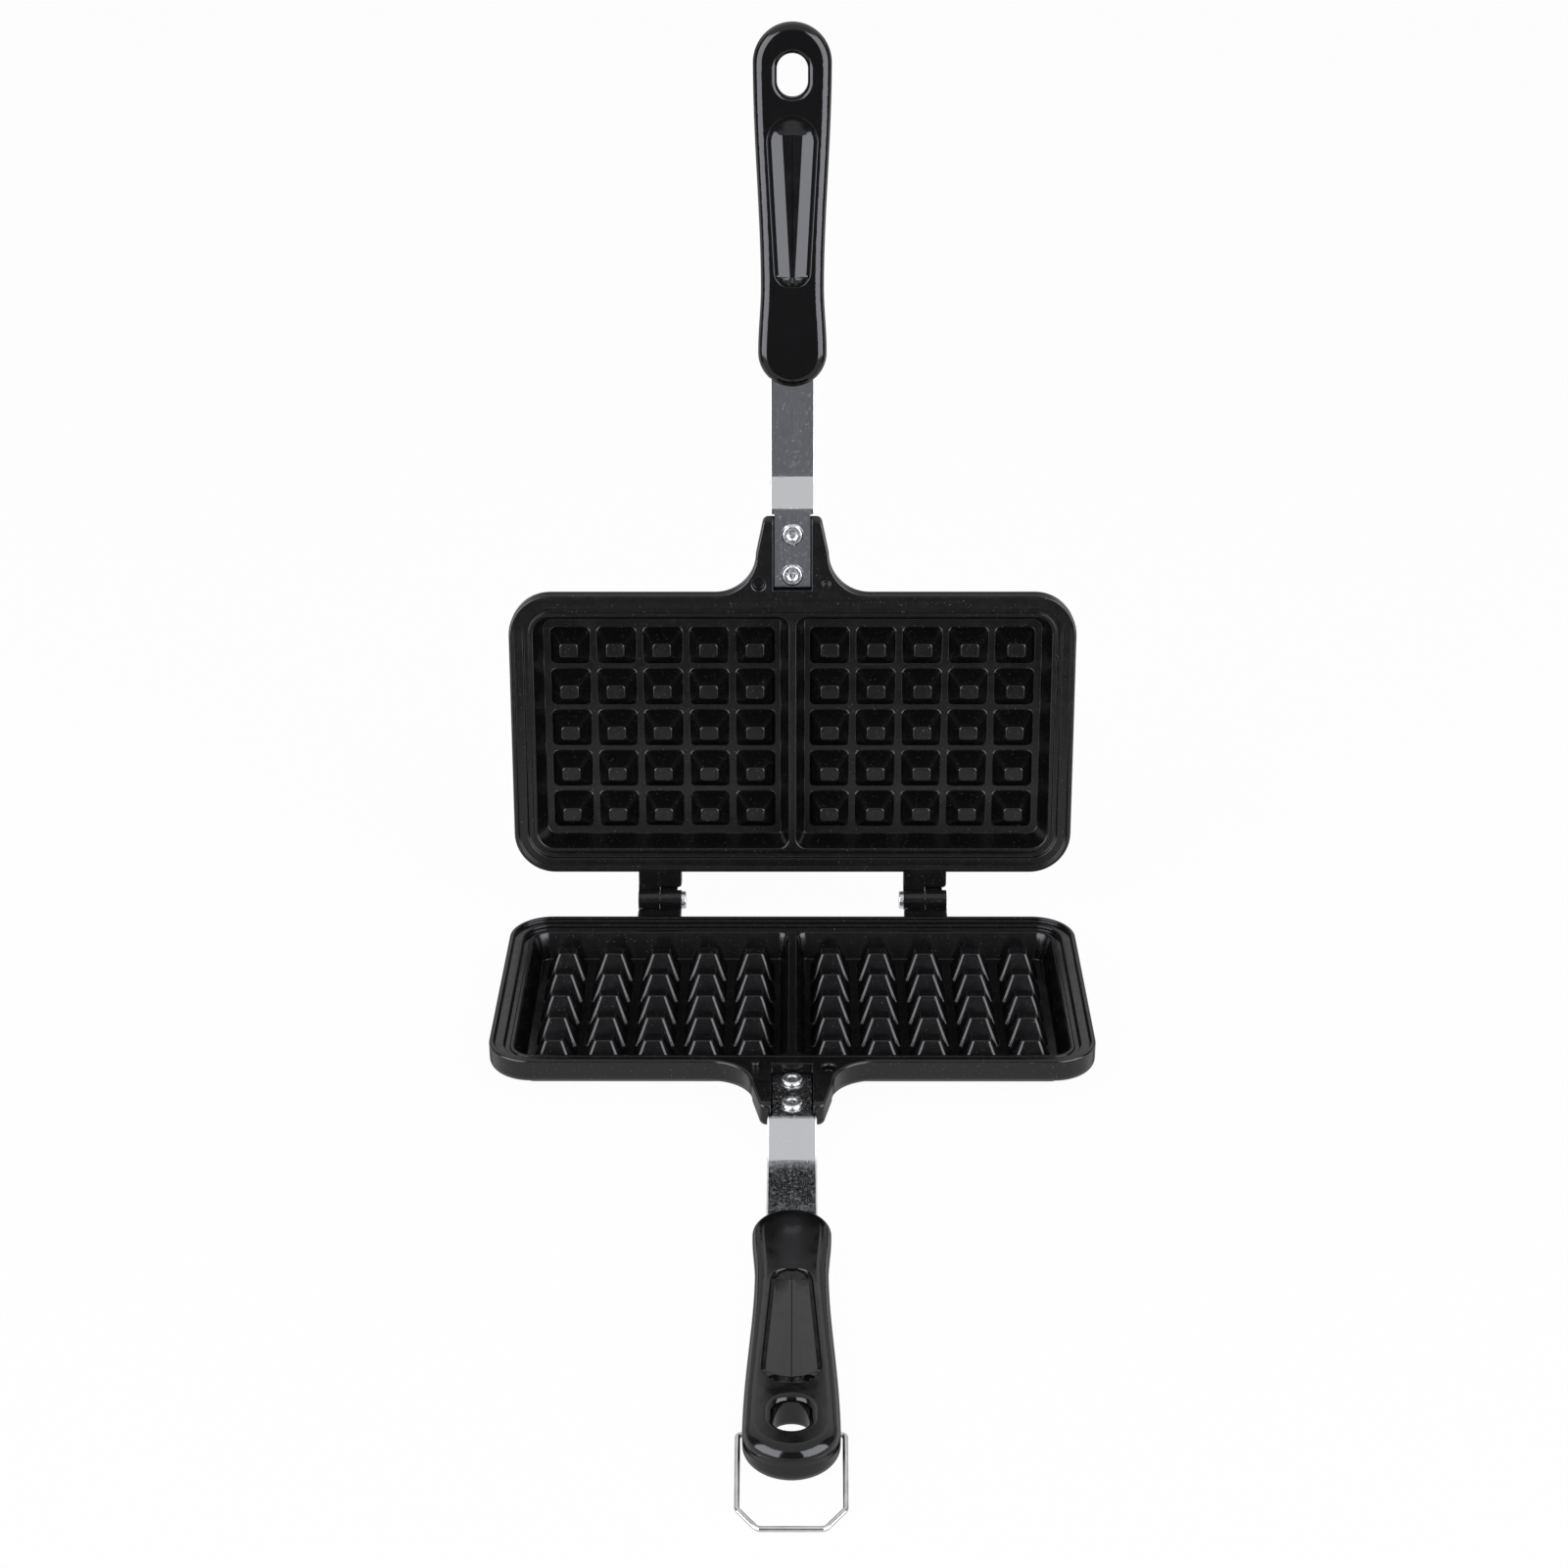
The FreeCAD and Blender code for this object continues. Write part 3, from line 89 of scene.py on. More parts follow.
# The thumb groove's ends, half widths there and upper edges there
GROOVE_NEAR = -211.5 * MM
GROOVE_FAR = -267.5 * MM
GROOVE_NEAR_HALF = 5.6 * MM
GROOVE_FAR_HALF = 8.55 * MM
GROOVE_NEAR_TOP = -8.09 * MM
GROOVE_FAR_TOP = -6.22 * MM
# Margin beside the groove, least and greatest depth of its mouth and of its slopes, before and
# after these are sunk
GROOVE_MOUTH = (0.5 * MM, -0.2 * MM, 0.15 * MM)
GROOVE_SLOPES = (0.05 * MM, 0.24 * MM, 2.4 * MM)
SUNK_SLOPES = (0.05 * MM, 0.24 * MM, 2.8 * MM)
# A slope of the groove faces up by more than this
SLOPE_UPWARD = 0.5

SENSOR_WIDTH = 36
SIGHT = 20
FLOOR_HALF = 4
FLOOR_DROP = 0.2 * MM

# Name, place, what it faces, width, height and power
LIGHTS = (
    ("overhead", (0.0, -0.1, 1.6), (0.0, -0.05, 0.0), 1.6, 1.2, 5.0),
    ("left_light", (-0.92, -0.95, 0.63), (0.0, -0.05, 0.1), 0.72, 1.12, 12.0),
    ("right_light", (0.92, -0.95, 0.63), (0.0, -0.05, 0.1), 0.72, 1.12, 12.0),
)

# Name, from and to in degrees round the pan from the camera's side, where its strip of floor
# starts, top and brightness. A wall with its strip starting at the wall has no strip
STUDIO_WALLS = (
    ("left_end_wall", -110, -80, 0.42, 2.2, 0.21),
    ("left_softbox", -80, -23, 1.1, 2.2, 7.2),
    ("camera_wall", -23, 23, 0.42, 2.2, 0.21),
    ("right_softbox", 23, 80, 1.1, 2.2, 7.2),
    ("right_end_wall", 80, 110, 0.42, 2.2, 0.21),
    ("back_wall", 110, 250, 1.9, 0.9, 0.5),
)
WALL_RADIUS = 1.9
WALL_STEPS = 10
WALL_LIFT = 0.5 * MM
WALL_TINT = (0.96, 0.97, 1.04, 1)


def half_placement(half):
    """Where a half's own frame lies: on the hinge axis, plate towards -Y, face along +Z."""
    place = Matrix.Translation(HINGE_POINT)
    if half == "upper":
        raised = Matrix.Rotation(-OPEN_ANGLE, 4, "X")
        place = place @ raised @ Matrix.Rotation(math.pi, 4, "Y")
    return place


def length(name, text, millimetres):
    return bpy.props.FloatProperty(name=name, description=text, default=millimetres * MM,
                                   unit="LENGTH", min=0, precision=5)


def angle(name, text, degrees):
    return bpy.props.FloatProperty(name=name, description=text, default=math.radians(degrees),
                                   subtype="ANGLE")


def colour(name, text, default):
    return bpy.props.FloatVectorProperty(name=name, description=text, default=default,
                                         subtype="COLOR", size=3, min=0, max=1)


def share(name, text, default):
    return bpy.props.FloatProperty(name=name, description=text, default=default,
                                   subtype="FACTOR", min=0, max=1)


class PanShape(bpy.types.PropertyGroup):
    """Sizes of the softened edges, the thumb grooves and the seams."""
    cast_edge: length("Cast edge", "Rounding of the casting's sharp edges", 0.36)
    rivet_edge: length("Rivet edge", "Rounding of the rims of a rivet's head", 0.2)
    grip_edge: length("Grip edge", "Rounding of the thumb groove's mouth", 0.42)
    seam_width: length("Seam width", "Half the width of the moulding seam round a grip", 0.12)
    seam_near: length("Near seam", "Seam below the hinge plane at the grip's near end", 12.6)
    seam_far: length("Far seam", "Seam below the hinge plane at the grip's far end", 10.6)
    sharp_angle: angle("Sharp angle", "Edges sharper than this get rounded", 32)
    crease_angle: angle("Crease angle", "Edges sharper than this stay sharp", 50)
    fold_angle: angle("Fold angle", "Least long fold between the groove's slopes", 6)
    short_fold_angle: angle("Short fold angle", "Least short fold between the slopes", 14.4)
    fold_length: length("Fold length", "Shortest long fold between the groove's slopes", 2.4)
    wall_width: length("Wall width", "Steep wall round the thumb groove's slopes", 0.35)
    wall_depth: length("Wall depth", "Fall of that wall", 0.42)
    shelf_width: length("Shelf width", "Level shelf between that wall and the slopes", 0.95)
    shelf_rise: length("Shelf rise", "How far the shelf gives back of the wall's fall", 0.27)
    line_width: length("Line width", "Half the width of the thumb groove's fine line", 0.12)
    line_depth: length("Line depth", "Depth of the thumb groove's fine line", 0.1)


class PanFinish(bpy.types.PropertyGroup):
    """Colours and sheens of the pan's finishes."""
    coating: colour("Coating", "Non-stick coating of the plates", (0.004, 0.004, 0.0041))
    dust: colour("Dust", "Light specks on the coating", (0.1, 0.1, 0.1))
    coating_roughness: share("Coating roughness", "Roughness of the coating", 0.2)
    coating_shine: share("Coating shine", "Specular level of the coating", 0.35)
    grip: colour("Grip", "Moulded grips", (0.002, 0.002, 0.0022))
    grip_roughness: share("Grip roughness", "Roughness of the grips", 0.09)
    grip_shine: share("Grip shine", "Specular level of the grips", 0.35)
    strap: colour("Strap", "Plated straps", (0.5, 0.505, 0.52))
    strap_roughness: share("Strap roughness", "Roughness of the straps", 0.09)
    # The rivet colour is also the colour of the painted highlight along the straps' long edges
    rivet: colour("Rivet", "Aluminium rivets", (0.72, 0.72, 0.73))
    steel: colour("Steel", "Pins, screws and bail", (0.58, 0.58, 0.58))


class PanStage(bpy.types.PropertyGroup):
    """Camera of the picture."""
    camera_place: bpy.props.FloatVectorProperty(
        name="Camera", description="Where the camera stands",
        default=(0.00101, -0.80375, 0.45776), unit="LENGTH", precision=5)
    camera_tilt: angle("Tilt", "Camera looks down by this", 24.697)
    camera_turn: angle("Turn", "Camera turned to the left", 0.26)
    camera_roll: angle("Roll", "Camera rolled to the left", -0.102)
    lens: bpy.props.FloatProperty(
        name="Lens", description="Focal length in millimetres on a 36 mm sensor", default=63.389,
        unit="CAMERA")


def settings(group):
    """One of the scene's groups of settings."""
    return getattr(bpy.context.scene, group)


def new_material(name):
    """A fresh material with only its output and a Principled shader."""
    material = bpy.data.materials.new(name)
    material.use_nodes = True
    tree = material.node_tree
    shader = tree.nodes["Principled BSDF"]
    return material, tree, shader


def place_noise(tree, cells, detail, roughness=0.5, stretch=(1, 1, 1)):
    """Noise on object coordinates, in cells per metre."""
    coordinates = tree.nodes.new("ShaderNodeTexCoord")
    mapping = tree.nodes.new("ShaderNodeMapping")
    mapping.inputs["Scale"].default_value = stretch
    noise = tree.nodes.new("ShaderNodeTexNoise")
    noise.inputs["Scale"].default_value = cells
    noise.inputs["Detail"].default_value = detail
    noise.inputs["Roughness"].default_value = roughness
    tree.links.new(coordinates.outputs["Object"], mapping.inputs["Vector"])
    tree.links.new(mapping.outputs["Vector"], noise.inputs["Vector"])
    return noise.outputs["Fac"]


def spread(tree, source, low, high, from_low=0.35, from_high=0.65):
    """A value, by default a noise, stretched to a range."""
    ranged = tree.nodes.new("ShaderNodeMapRange")
    ranged.inputs["From Min"].default_value = from_low
    ranged.inputs["From Max"].default_value = from_high
    ranged.inputs["To Min"].default_value = low
    ranged.inputs["To Max"].default_value = high
    tree.links.new(source, ranged.inputs["Value"])
    return ranged.outputs["Result"]


def calculate(tree, operation, *values):
    """A sum on sockets and numbers."""
    node = tree.nodes.new("ShaderNodeMath")
    node.operation = operation
    for socket, value in zip(node.inputs, values):
        if isinstance(value, bpy.types.NodeSocket):
            tree.links.new(value, socket)
        else:
            socket.default_value = value
    return node.outputs["Value"]


def blend_colours(tree, factor, first, second):
    mix = tree.nodes.new("ShaderNodeMix")
    mix.data_type = "RGBA"
    mix.inputs["A"].default_value = (*first, 1)
    mix.inputs["B"].default_value = (*second, 1)
    tree.links.new(factor, mix.inputs["Factor"])
    return mix.outputs["Result"]


def bump(tree, shader, height, depth, strength):
    node = tree.nodes.new("ShaderNodeBump")
    node.inputs["Distance"].default_value = depth
    node.inputs["Strength"].default_value = strength
    tree.links.new(height, node.inputs["Height"])
    tree.links.new(node.outputs["Normal"], shader.inputs["Normal"])


def calm_gloss(tree, shader, level):
    """A specular level that falls off at grazing angles, where a softbox would burn out."""
    weight = tree.nodes.new("ShaderNodeLayerWeight")
    shine = spread(tree, weight.outputs["Facing"], low=level, high=0.008,
                   from_low=0.55, from_high=0.74)
    tree.links.new(shine, shader.inputs["Specular IOR Level"])


def times(base, factor):
    return tuple(part * factor for part in base)


def coated_casting():
    """Satin black non-stick coating, finely speckled and faintly pebbled."""
    finish = settings("pan_finish")
    material, tree, shader = new_material("coated_casting")
    specks = spread(tree, place_noise(tree, cells=2000, detail=1), low=0, high=1,
                    from_low=0.725, from_high=0.765)
    tone = blend_colours(tree, specks, finish.coating, finish.dust)
    tree.links.new(tone, shader.inputs["Base Color"])
    sheen = spread(tree, place_noise(tree, cells=300, detail=4),
                   low=finish.coating_roughness - 0.03, high=finish.coating_roughness + 0.04)
    tree.links.new(sheen, shader.inputs["Roughness"])
    calm_gloss(tree, shader, finish.coating_shine)
    pebbles = place_noise(tree, cells=1900, detail=3)
    bump(tree, shader, pebbles, depth=0.02 * MM, strength=0.6)
    return material


def moulded_grip():
    """Glossy black moulded plastic with a faint unevenness."""
    finish = settings("pan_finish")
    material, tree, shader = new_material("moulded_grip")
    clouds = spread(tree, place_noise(tree, cells=25, detail=3), low=0, high=1)
    tone = blend_colours(tree, clouds, finish.grip, times(finish.grip, 1.5))
    tree.links.new(tone, shader.inputs["Base Color"])
    sheen = spread(tree, place_noise(tree, cells=140, detail=4),
                   low=finish.grip_roughness - 0.03, high=finish.grip_roughness + 0.05)
    tree.links.new(sheen, shader.inputs["Roughness"])
    calm_gloss(tree, shader, finish.grip_shine)
    waves = place_noise(tree, cells=350, detail=2)
    bump(tree, shader, waves, depth=0.03 * MM, strength=0.2)
    return material


def plated_strap():
    """Bright plating with shallow waves, fine scratches, small dents and a painted highlight
    along both long edges.
    """
    finish = settings("pan_finish")
    material, tree, shader = new_material("plated_strap")
    shader.inputs["Metallic"].default_value = 1
    edge_highlight_and_worn_tone = painted_strap_edge_highlight(tree)
    # Painted highlight: along both long edges the colour turns to the lighter rivet colour,
    # standing in for the reflection their rounding would catch
    tone = blend_colours(tree, edge_highlight_and_worn_tone, finish.strap, finish.rivet)
    tree.links.new(tone, shader.inputs["Base Color"])
    scratches = place_noise(tree, cells=700, detail=3, stretch=(6, 0.6, 0.6))
    sheen = spread(tree, scratches, low=finish.strap_roughness,
                   high=finish.strap_roughness + 0.12)
    # The same painted-highlight edges are also made rougher
    highlight_edge_dullness = 0.4
    dull = calculate(tree, "MULTIPLY_ADD", edge_highlight_and_worn_tone, highlight_edge_dullness, sheen)
    tree.links.new(dull, shader.inputs["Roughness"])
    dents = spread(tree, place_noise(tree, cells=900, detail=3), low=0, high=0.26,
                   from_low=0.6, from_high=0.68)
    waves = place_noise(tree, cells=180, detail=3)
    relief = calculate(tree, "ADD", waves, dents)
    bump(tree, shader, relief, depth=0.12 * MM, strength=0.6)
    return material


def painted_strap_edge_highlight(tree):
    """Mask of the painted highlight: 1 along both long edges of a strap and 0 between them."""
    coordinates = tree.nodes.new("ShaderNodeTexCoord")
    split = tree.nodes.new("ShaderNodeSeparateXYZ")
    tree.links.new(coordinates.outputs["Object"], split.inputs["Vector"])
    aside = calculate(tree, "ABSOLUTE", split.outputs["X"])
    return spread(tree, aside, low=0, high=1,
                  from_low=STRAP_HALF - 0.62 * MM, from_high=STRAP_HALF - 0.42 * MM)


def struck_rivet():
    """Aluminium with the uneven dents of a riveting punch."""
    finish = settings("pan_finish")
    material, tree, shader = new_material("struck_rivet")
    shader.inputs["Metallic"].default_value = 1
    clouds = spread(tree, place_noise(tree, cells=700, detail=3), low=0, high=1)
    tone = blend_colours(tree, clouds, finish.rivet, times(finish.rivet, 0.6))
    tree.links.new(tone, shader.inputs["Base Color"])
    sheen = spread(tree, place_noise(tree, cells=1500, detail=2), low=0.16, high=0.34)
    tree.links.new(sheen, shader.inputs["Roughness"])
    dents = place_noise(tree, cells=650, detail=3, roughness=0.6)
    bump(tree, shader, dents, depth=0.1 * MM, strength=0.6)
    return material


def worked_metal(name, tone, roughness, grain):
    """Plain metal whose sheen follows a fine grain."""
    material, tree, shader = new_material(name)
    shader.inputs["Metallic"].default_value = 1
    clouds = spread(tree, place_noise(tree, cells=grain / 4, detail=3), low=0, high=1)
    edge_highlight_and_worn_tone = blend_colours(tree, clouds, tone, times(tone, 0.8))
    tree.links.new(edge_highlight_and_worn_tone, shader.inputs["Base Color"])
    lines = place_noise(tree, cells=grain, detail=3)
    sheen = spread(tree, lines, low=roughness - 0.06, high=roughness + 0.1)
    tree.links.new(sheen, shader.inputs["Roughness"])
    bump(tree, shader, lines, depth=0.01 * MM, strength=0.4)
    return material


def dress(node_name, material):
    """Give a CAD node another material."""
    node = frame["nodes"][node_name]
    slots = node.data.materials
    if not slots:
        slots.append(material)
    for index in range(len(slots)):
        slots[index] = material


def mesh_object(name, bm, material):
    """An object of the scene from a bmesh, which is used up."""
    mesh = bpy.data.meshes.new(name)
    bm.to_mesh(mesh)
    bm.free()
    mesh.materials.append(material)
    made = bpy.data.objects.new(name, mesh)
    bpy.context.scene.collection.objects.link(made)
    return made


def new_piece(name, bm, material, body, replaced):
    """A finished piece from a bmesh: rides on its body and stands for its CAD node."""
    piece = mesh_object(name, bm, material)
    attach(piece, body)
    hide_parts(replaced)
    weigh_normals(piece)
    return piece


def weigh_normals(piece):
    """Keep large flat faces flat beside small round ones."""
    weighted = piece.modifiers.new("weighted normals", "WEIGHTED_NORMAL")
    weighted.mode = "FACE_AREA"
    weighted.weight = 100
    weighted.keep_sharp = True


def merged_copy(node_name):
    """A welded copy of a CAD node, with its flat faces made whole."""
    bm = bmesh.new()
    bm.from_mesh(frame["nodes"][node_name].data)
    bmesh.ops.remove_doubles(bm, verts=bm.verts, dist=WELD_GAP)
    bmesh.ops.dissolve_limit(bm, angle_limit=FLAT_ANGLE, verts=bm.verts, edges=bm.edges,
                             use_dissolve_boundaries=False, delimit={"NORMAL"})
    return bm


def sharp_edges(bm, least):
    return [edge for edge in bm.edges if edge.is_manifold and edge.calc_face_angle() > least]


def edge_groups(edges):
    """The connected runs among some edges."""
    left, groups = set(edges), []
    for first in edges:
        if first not in left:
            continue
        left.remove(first)
        group = [first]
        for edge in group:
            for other in [other for vert in edge.verts for other in vert.link_edges]:
                if other in left:
                    left.remove(other)
                    group.append(other)
        groups.append(group)
    return groups


def round_edges(bm, width, least, keep, clamp=True):
    """Round each run of sharp edges that passes a test.

    With clamp no rounding goes further than the faces beside it allow.
    """
    for group in edge_groups(sharp_edges(bm, least)):
        group = [edge for edge in group if edge.is_valid]
        if group and keep(group):
            bmesh.ops.bevel(bm, geom=group, offset=width, offset_type="OFFSET", segments=2,
                            profile=0.5, affect="EDGES", clamp_overlap=clamp, material=-1,
                            loop_slide=False)


def smooth_out(bm, is_crease):
    """Smooth shading that breaks only at the creases."""
    for face in bm.faces:
        face.smooth = True
    for edge in bm.edges:
        edge.smooth = not (edge.is_manifold and is_crease(edge))


class PanOperator:
    bl_options = {"REGISTER", "UNDO"}


class WAFFLE_OT_stage(PanOperator, bpy.types.Operator):
    """Camera, white surroundings and soft studio lights"""
    bl_idname = "waffle.stage"
    bl_label = "Stage"

    def execute(self, context):
        set_camera(context)
        set_world(context)
        set_floor()
        set_lights(context)
        set_walls()
        return {"FINISHED"}


def set_camera(context):
    stage = settings("pan_stage")
    data = bpy.data.cameras.new("camera")
    data.sensor_width = SENSOR_WIDTH
    data.lens = stage.lens
    data.clip_end = SIGHT
    camera = bpy.data.objects.new("camera", data)
    context.scene.collection.objects.link(camera)
    turned = Matrix.Rotation(stage.camera_turn, 4, "Z")
    tilted = Matrix.Rotation(math.radians(90) - stage.camera_tilt, 4, "X")
    rolled = Matrix.Rotation(stage.camera_roll, 4, "Z")
    camera.matrix_world = Matrix.Translation(stage.camera_place) @ turned @ tilted @ rolled
    context.scene.camera = camera
    context.scene.view_settings.view_transform = "Standard"


def shown(tree):
    """1 for what the camera, a reflection or clear matter shows, else 0."""
    path = tree.nodes.new("ShaderNodeLightPath")
    seen = path.outputs["Is Camera Ray"]
    for kind in ("Is Glossy Ray", "Is Transmission Ray"):
        seen = calculate(tree, "MAXIMUM", seen, path.outputs[kind])
    return seen


def set_world(context):
    """White to the camera and in reflections, soft grey as light."""
    world = bpy.data.worlds.new("studio")
    context.scene.world = world
    world.use_nodes = True
    tree = world.node_tree
    background = tree.nodes["Background"]
    strength = spread(tree, shown(tree), low=0.3, high=1.0, from_low=0, from_high=1)
    tree.links.new(strength, background.inputs["Strength"])
    background.inputs["Color"].default_value = (1, 1, 1, 1)


def set_floor():
    """Nearly white to the camera and in reflections, and a matt floor that takes shadows."""
    material, tree, shader = new_material("white_floor")
    shader.inputs["Base Color"].default_value = (0.8, 0.8, 0.8, 1)
    shader.inputs["Roughness"].default_value = 0.9
    glow = tree.nodes.new("ShaderNodeEmission")
    glow.inputs["Strength"].default_value = 1
    mix = tree.nodes.new("ShaderNodeMixShader")
    glow_share = spread(tree, shown(tree), low=0, high=0.97, from_low=0, from_high=1)
    tree.links.new(glow_share, mix.inputs["Fac"])
    tree.links.new(shader.outputs["BSDF"], mix.inputs[1])
    tree.links.new(glow.outputs["Emission"], mix.inputs[2])
    tree.links.new(mix.outputs["Shader"], tree.nodes["Material Output"].inputs["Surface"])
    bm = bmesh.new()
    bmesh.ops.create_grid(bm, x_segments=1, y_segments=1, size=FLOOR_HALF)
    bmesh.ops.translate(bm, verts=bm.verts, vec=(0, 0, -FLOOR_DROP))
    floor = mesh_object("floor", bm, material)


def set_lights(context):
    """Lamps for the diffuse light. Reflections show the studio walls instead."""
    for name, place, target, width, height, power in LIGHTS:
        data = bpy.data.lights.new(name, "AREA")
        data.shape = "RECTANGLE"
        data.size = width
        data.size_y = height
        data.energy = power
        lamp = bpy.data.objects.new(name, data)
        lamp.location = place
        facing = Vector(target) - Vector(place)
        lamp.rotation_euler = facing.to_track_quat("-Z", "Y").to_euler()
        lamp.visible_camera = False
        lamp.visible_glossy = False
        context.scene.collection.objects.link(lamp)


def set_walls():
    """Grey walls and softboxes round the pan, which only reflections show."""
    for name, first, last, near, top, brightness in STUDIO_WALLS:
        material, tree, shader = new_material(name)
        shader.inputs["Base Color"].default_value = (0, 0, 0, 1)
        shader.inputs["Specular IOR Level"].default_value = 0
        shader.inputs["Emission Color"].default_value = WALL_TINT
        shader.inputs["Emission Strength"].default_value = brightness
        wall = mesh_object(name, wall_mesh(first, last, near, top), material)
        for ray in ("camera", "diffuse", "transmission", "volume_scatter", "shadow"):
            setattr(wall, f"visible_{ray}", False)


def wall_mesh(first, last, near, top):
    """A curved wall with the strip of floor before it, between two angles in degrees."""
    bm = bmesh.new()
    outline = [(0, -WALL_RADIUS, WALL_LIFT), (0, -WALL_RADIUS, top)]
    if near < WALL_RADIUS:
        outline.insert(0, (0, -near, WALL_LIFT))
    points = [bm.verts.new(place) for place in outline]
    profile = [bm.edges.new(pair) for pair in zip(points, points[1:])]
    turned = Matrix.Rotation(math.radians(first), 3, "Z")
    bmesh.ops.rotate(bm, verts=points, cent=(0, 0, 0), matrix=turned)
    bmesh.ops.spin(bm, geom=points + profile, cent=(0, 0, 0), axis=(0, 0, 1), dvec=(0, 0, 0),
                   angle=math.radians(last - first), steps=WALL_STEPS, use_merge=False)
    return bm


class WAFFLE_OT_plates(PanOperator, bpy.types.Operator):
    """Both cast plates with softened edges and a speckled coating"""
    bl_idname = "waffle.plates"
    bl_label = "Cast plates"

    def execute(self, context):
        shape = settings("pan_shape")
        material = coated_casting()
        for half in HALVES:
            local = half_placement(half).inverted()
            bm = merged_copy(f"{half}_plate")
            round_edges(bm, shape.cast_edge, shape.sharp_angle,
                        lambda group: clear_of_hinge(group, local))
            smooth_out(bm, lambda edge: edge.calc_face_angle() > shape.crease_angle)
            new_piece(f"{half}_casting", bm, material, half, f"{half}_plate")
        return {"FINISHED"}


def clear_of_hinge(group, local):
    """Whether a run of edges keeps off the hinge knuckles."""
    return all((local @ vert.co).y < HINGE_REACH for edge in group for vert in edge.verts)


class WAFFLE_OT_grips(PanOperator, bpy.types.Operator):
    """Both moulded grips, with the thumb groove and the seam where their two shells meet"""
    bl_idname = "waffle.grips"
    bl_label = "Grips"

    def execute(self, context):
        shape = settings("pan_shape")
        material = moulded_grip()
        for half in HALVES:
            place = half_placement(half)
            local = place.inverted()
            bm = merged_copy(f"{half}_grip")
            round_edges(bm, shape.grip_edge, shape.sharp_angle,
                        lambda group: is_groove_mouth(group, local), clamp=False)
            sink_groove(bm, place, shape)
            cut_seam(bm, place, shape)
            smooth_out(bm, lambda edge: is_grip_crease(edge, local, shape))
            new_piece(f"{half}_moulding", bm, material, half, f"{half}_grip")
        return {"FINISHED"}


def in_thumb_groove(point, margin, least, most):
    """Whether a point in a half's own frame lies between two depths of the thumb groove."""
    along = (GROOVE_NEAR - point.y) / (GROOVE_NEAR - GROOVE_FAR)
    half_width = GROOVE_NEAR_HALF + along * (GROOVE_FAR_HALF - GROOVE_NEAR_HALF)
    depth = GROOVE_NEAR_TOP + along * (GROOVE_FAR_TOP - GROOVE_NEAR_TOP) - point.z
    return 0 < along < 1 and abs(point.x) < half_width + margin and least < depth < most


def is_groove_mouth(group, local):
    """Whether a run of edges is the thumb groove's mouth."""
    return all(edge.is_convex and in_thumb_groove(local @ vert.co, *GROOVE_MOUTH)
               for edge in group for vert in edge.verts)


def groove_slopes(bm, local):
    """The faces of the thumb groove's slopes."""
    turn = local.to_3x3()
    return [face for face in bm.faces if (turn @ face.normal).z > SLOPE_UPWARD and all(
        in_thumb_groove(local @ vert.co, *GROOVE_SLOPES) for vert in face.verts)]


def sink_groove(bm, place, shape):
    """A steep wall and a level shelf round the thumb groove's slopes, and a fine line in them."""
    slopes = groove_slopes(bm, place.inverted())
    for width, rise in ((shape.wall_width, -shape.wall_depth),
                        (shape.shelf_width, shape.shelf_rise)):
        bmesh.ops.inset_region(bm, faces=slopes, thickness=width, depth=rise, use_boundary=True)
    rim = {vert for face in slopes for edge in face.edges for vert in edge.verts
           if not all(beside in slopes for beside in edge.link_faces)}
    turn = place.to_3x3()
    across, down = turn @ Vector((1, 0, 0)), turn @ Vector((0, 0, -1))
    for vert in cut_line(bm, slopes, place.translation, across, shape.line_width):
        if vert not in rim:
            vert.co += down * shape.line_depth


def cut_line(bm, faces, point, normal, half_width):
    """Cut some faces along a plane and on both sides of it, and give the points on it."""
    parts = list(faces)
    for offset in (-half_width, half_width, 0):
        verts = dict.fromkeys(vert for face in parts for vert in face.verts)
        edges = dict.fromkeys(edge for face in parts for edge in face.edges)
        cut = bmesh.ops.bisect_plane(bm, geom=[*verts, *edges, *parts], dist=CUT_SNAP,
                                     plane_co=point + normal * offset, plane_no=normal)
        parts = [part for part in cut["geom"] if isinstance(part, bmesh.types.BMFace)]
    verts = dict.fromkeys(vert for face in parts for vert in face.verts)
    return [vert for vert in verts if abs((vert.co - point).dot(normal)) < CUT_REACH]


def cut_seam(bm, place, shape):
    """A fine V-shaped seam round the outside of a grip."""
    near = Vector((0, GRIP_NEAR, -shape.seam_near))
    far = Vector((0, GRIP_FAR, -shape.seam_far))
    up = Vector((1, 0, 0)).cross((near - far).normalized()).normalized()
    normal, local = place.to_3x3() @ up, place.inverted()
    middle = cut_line(bm, bm.faces, place @ near, normal, shape.seam_width)
    bm.normal_update()
    bottom = [vert for vert in middle if is_outer(local @ vert.co)]
    inward = [(normal * vert.normal.dot(normal) - vert.normal).normalized() for vert in bottom]
    for vert, direction in zip(bottom, inward):
        vert.co += direction * shape.seam_width


def is_outer(point):
    """Whether a point of a grip lies on its outer wall and not in a hole or slot."""
    if point.y > NEAR_MIDDLE:
        return math.hypot(point.x, point.y - NEAR_MIDDLE) > END_HOLLOW
    if point.y < FAR_MIDDLE:
        return math.hypot(point.x, point.y - FAR_MIDDLE) > END_HOLLOW
    return abs(point.x) > SIDE_HOLLOW


def is_grip_crease(edge, local, shape):
    """Sharp anywhere, or a fold between the thumb groove's slopes."""
    bend = edge.calc_face_angle()
    if bend > shape.crease_angle:
        return True
    is_long = edge.calc_length() > shape.fold_length
    least = shape.fold_angle if is_long else shape.short_fold_angle
    return bend > least and all(
        in_thumb_groove(local @ vert.co, *SUNK_SLOPES) for vert in edge.verts)


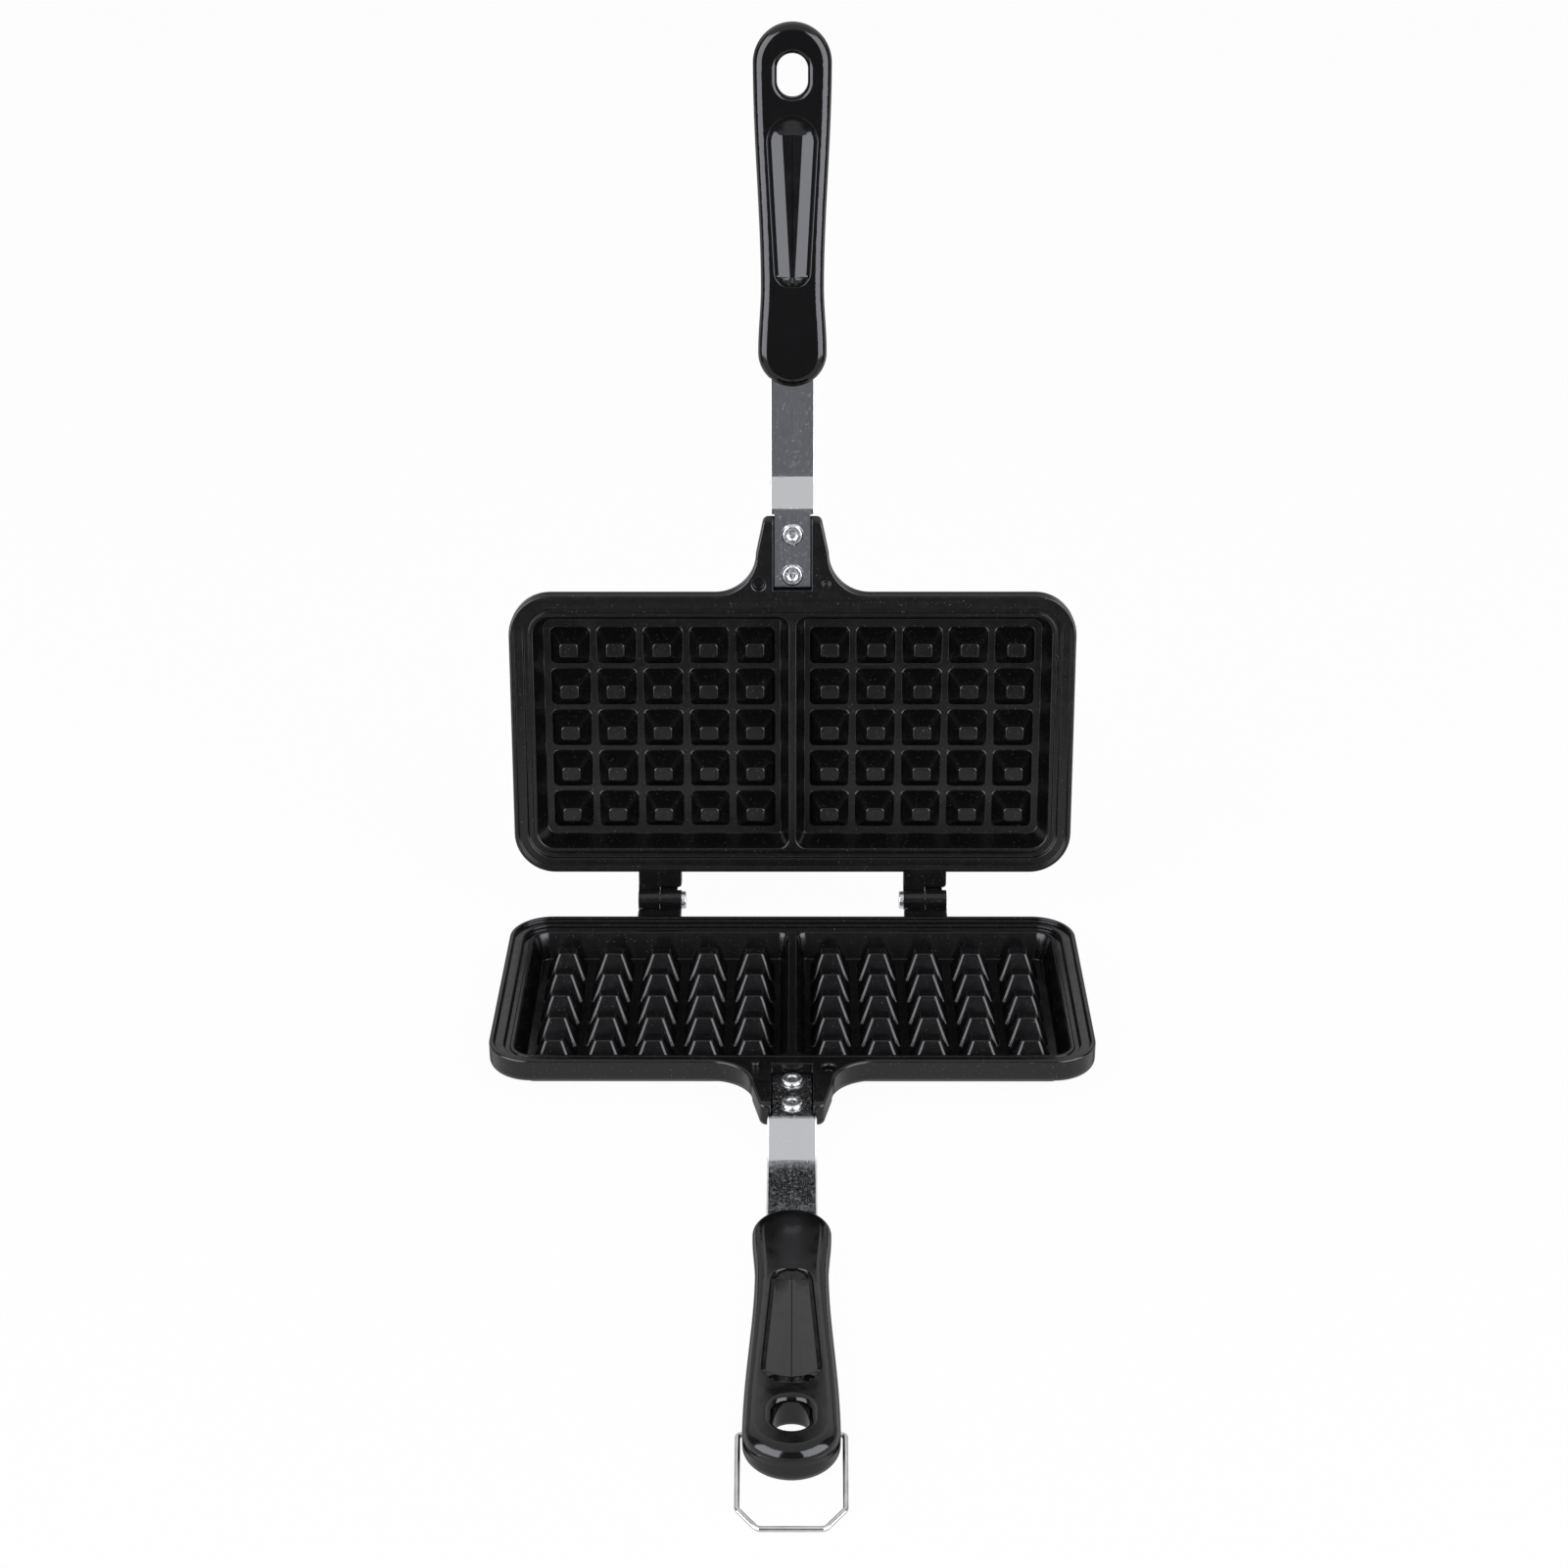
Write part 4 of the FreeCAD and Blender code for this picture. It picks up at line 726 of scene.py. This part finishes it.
class WAFFLE_OT_metal(PanOperator, bpy.types.Operator):
    """Straps, rivets, pins, screws and bail"""
    bl_idname = "waffle.metal"
    bl_label = "Metal parts"

    def execute(self, context):
        finish = settings("pan_finish")
        strap = plated_strap()
        rivet = struck_rivet()
        pin = worked_metal("turned_pin", finish.steel, roughness=0.3, grain=1500)
        wire = worked_metal("drawn_wire", finish.steel, roughness=0.1, grain=1200)
        for half in HALVES:
            dress(f"{half}_strap", strap)
            for place in ("front", "rear"):
                soften_rivet(half, place, rivet)
            dress(f"{half}_hinge_pin", pin)
            dress(f"{half}_grip_screw", pin)
        dress("bail", wire)
        return {"FINISHED"}


def soften_rivet(half, place, material):
    """A rivet with the rims of its head and dish rounded."""
    shape = settings("pan_shape")
    bm = merged_copy(f"{half}_{place}_rivet")
    round_edges(bm, shape.rivet_edge, shape.sharp_angle, lambda group: True)
    smooth_out(bm, lambda edge: edge.calc_face_angle() > shape.crease_angle)
    new_piece(f"{half}_{place}_struck_rivet", bm, material, half,
              f"{half}_{place}_rivet")


class WAFFLE_PT_panel(bpy.types.Panel):
    """Lists the pan's pieces"""
    bl_idname = "WAFFLE_PT_panel"
    bl_label = "Waffle Pan"
    bl_space_type = "VIEW_3D"
    bl_region_type = "UI"
    bl_category = "Waffle Pan"

    def draw(self, context):
        for operator in OPERATORS:
            self.layout.operator(operator.bl_idname)


OPERATORS = (WAFFLE_OT_stage, WAFFLE_OT_plates, WAFFLE_OT_grips, WAFFLE_OT_metal)
GROUPS = (("pan_shape", PanShape), ("pan_finish", PanFinish), ("pan_stage", PanStage))


def register():
    for name, group in GROUPS:
        bpy.utils.register_class(group)
        setattr(bpy.types.Scene, name, bpy.props.PointerProperty(type=group))
    for item in (*OPERATORS, WAFFLE_PT_panel):
        bpy.utils.register_class(item)


def unregister():
    for item in (WAFFLE_PT_panel, *reversed(OPERATORS)):
        bpy.utils.unregister_class(item)
    for name, group in reversed(GROUPS):
        delattr(bpy.types.Scene, name)
        bpy.utils.unregister_class(group)


def main():
    register()
    bpy.ops.waffle.stage()
    bpy.ops.waffle.plates()
    bpy.ops.waffle.grips()
    bpy.ops.waffle.metal()


if __name__ == "__main__":
    main()
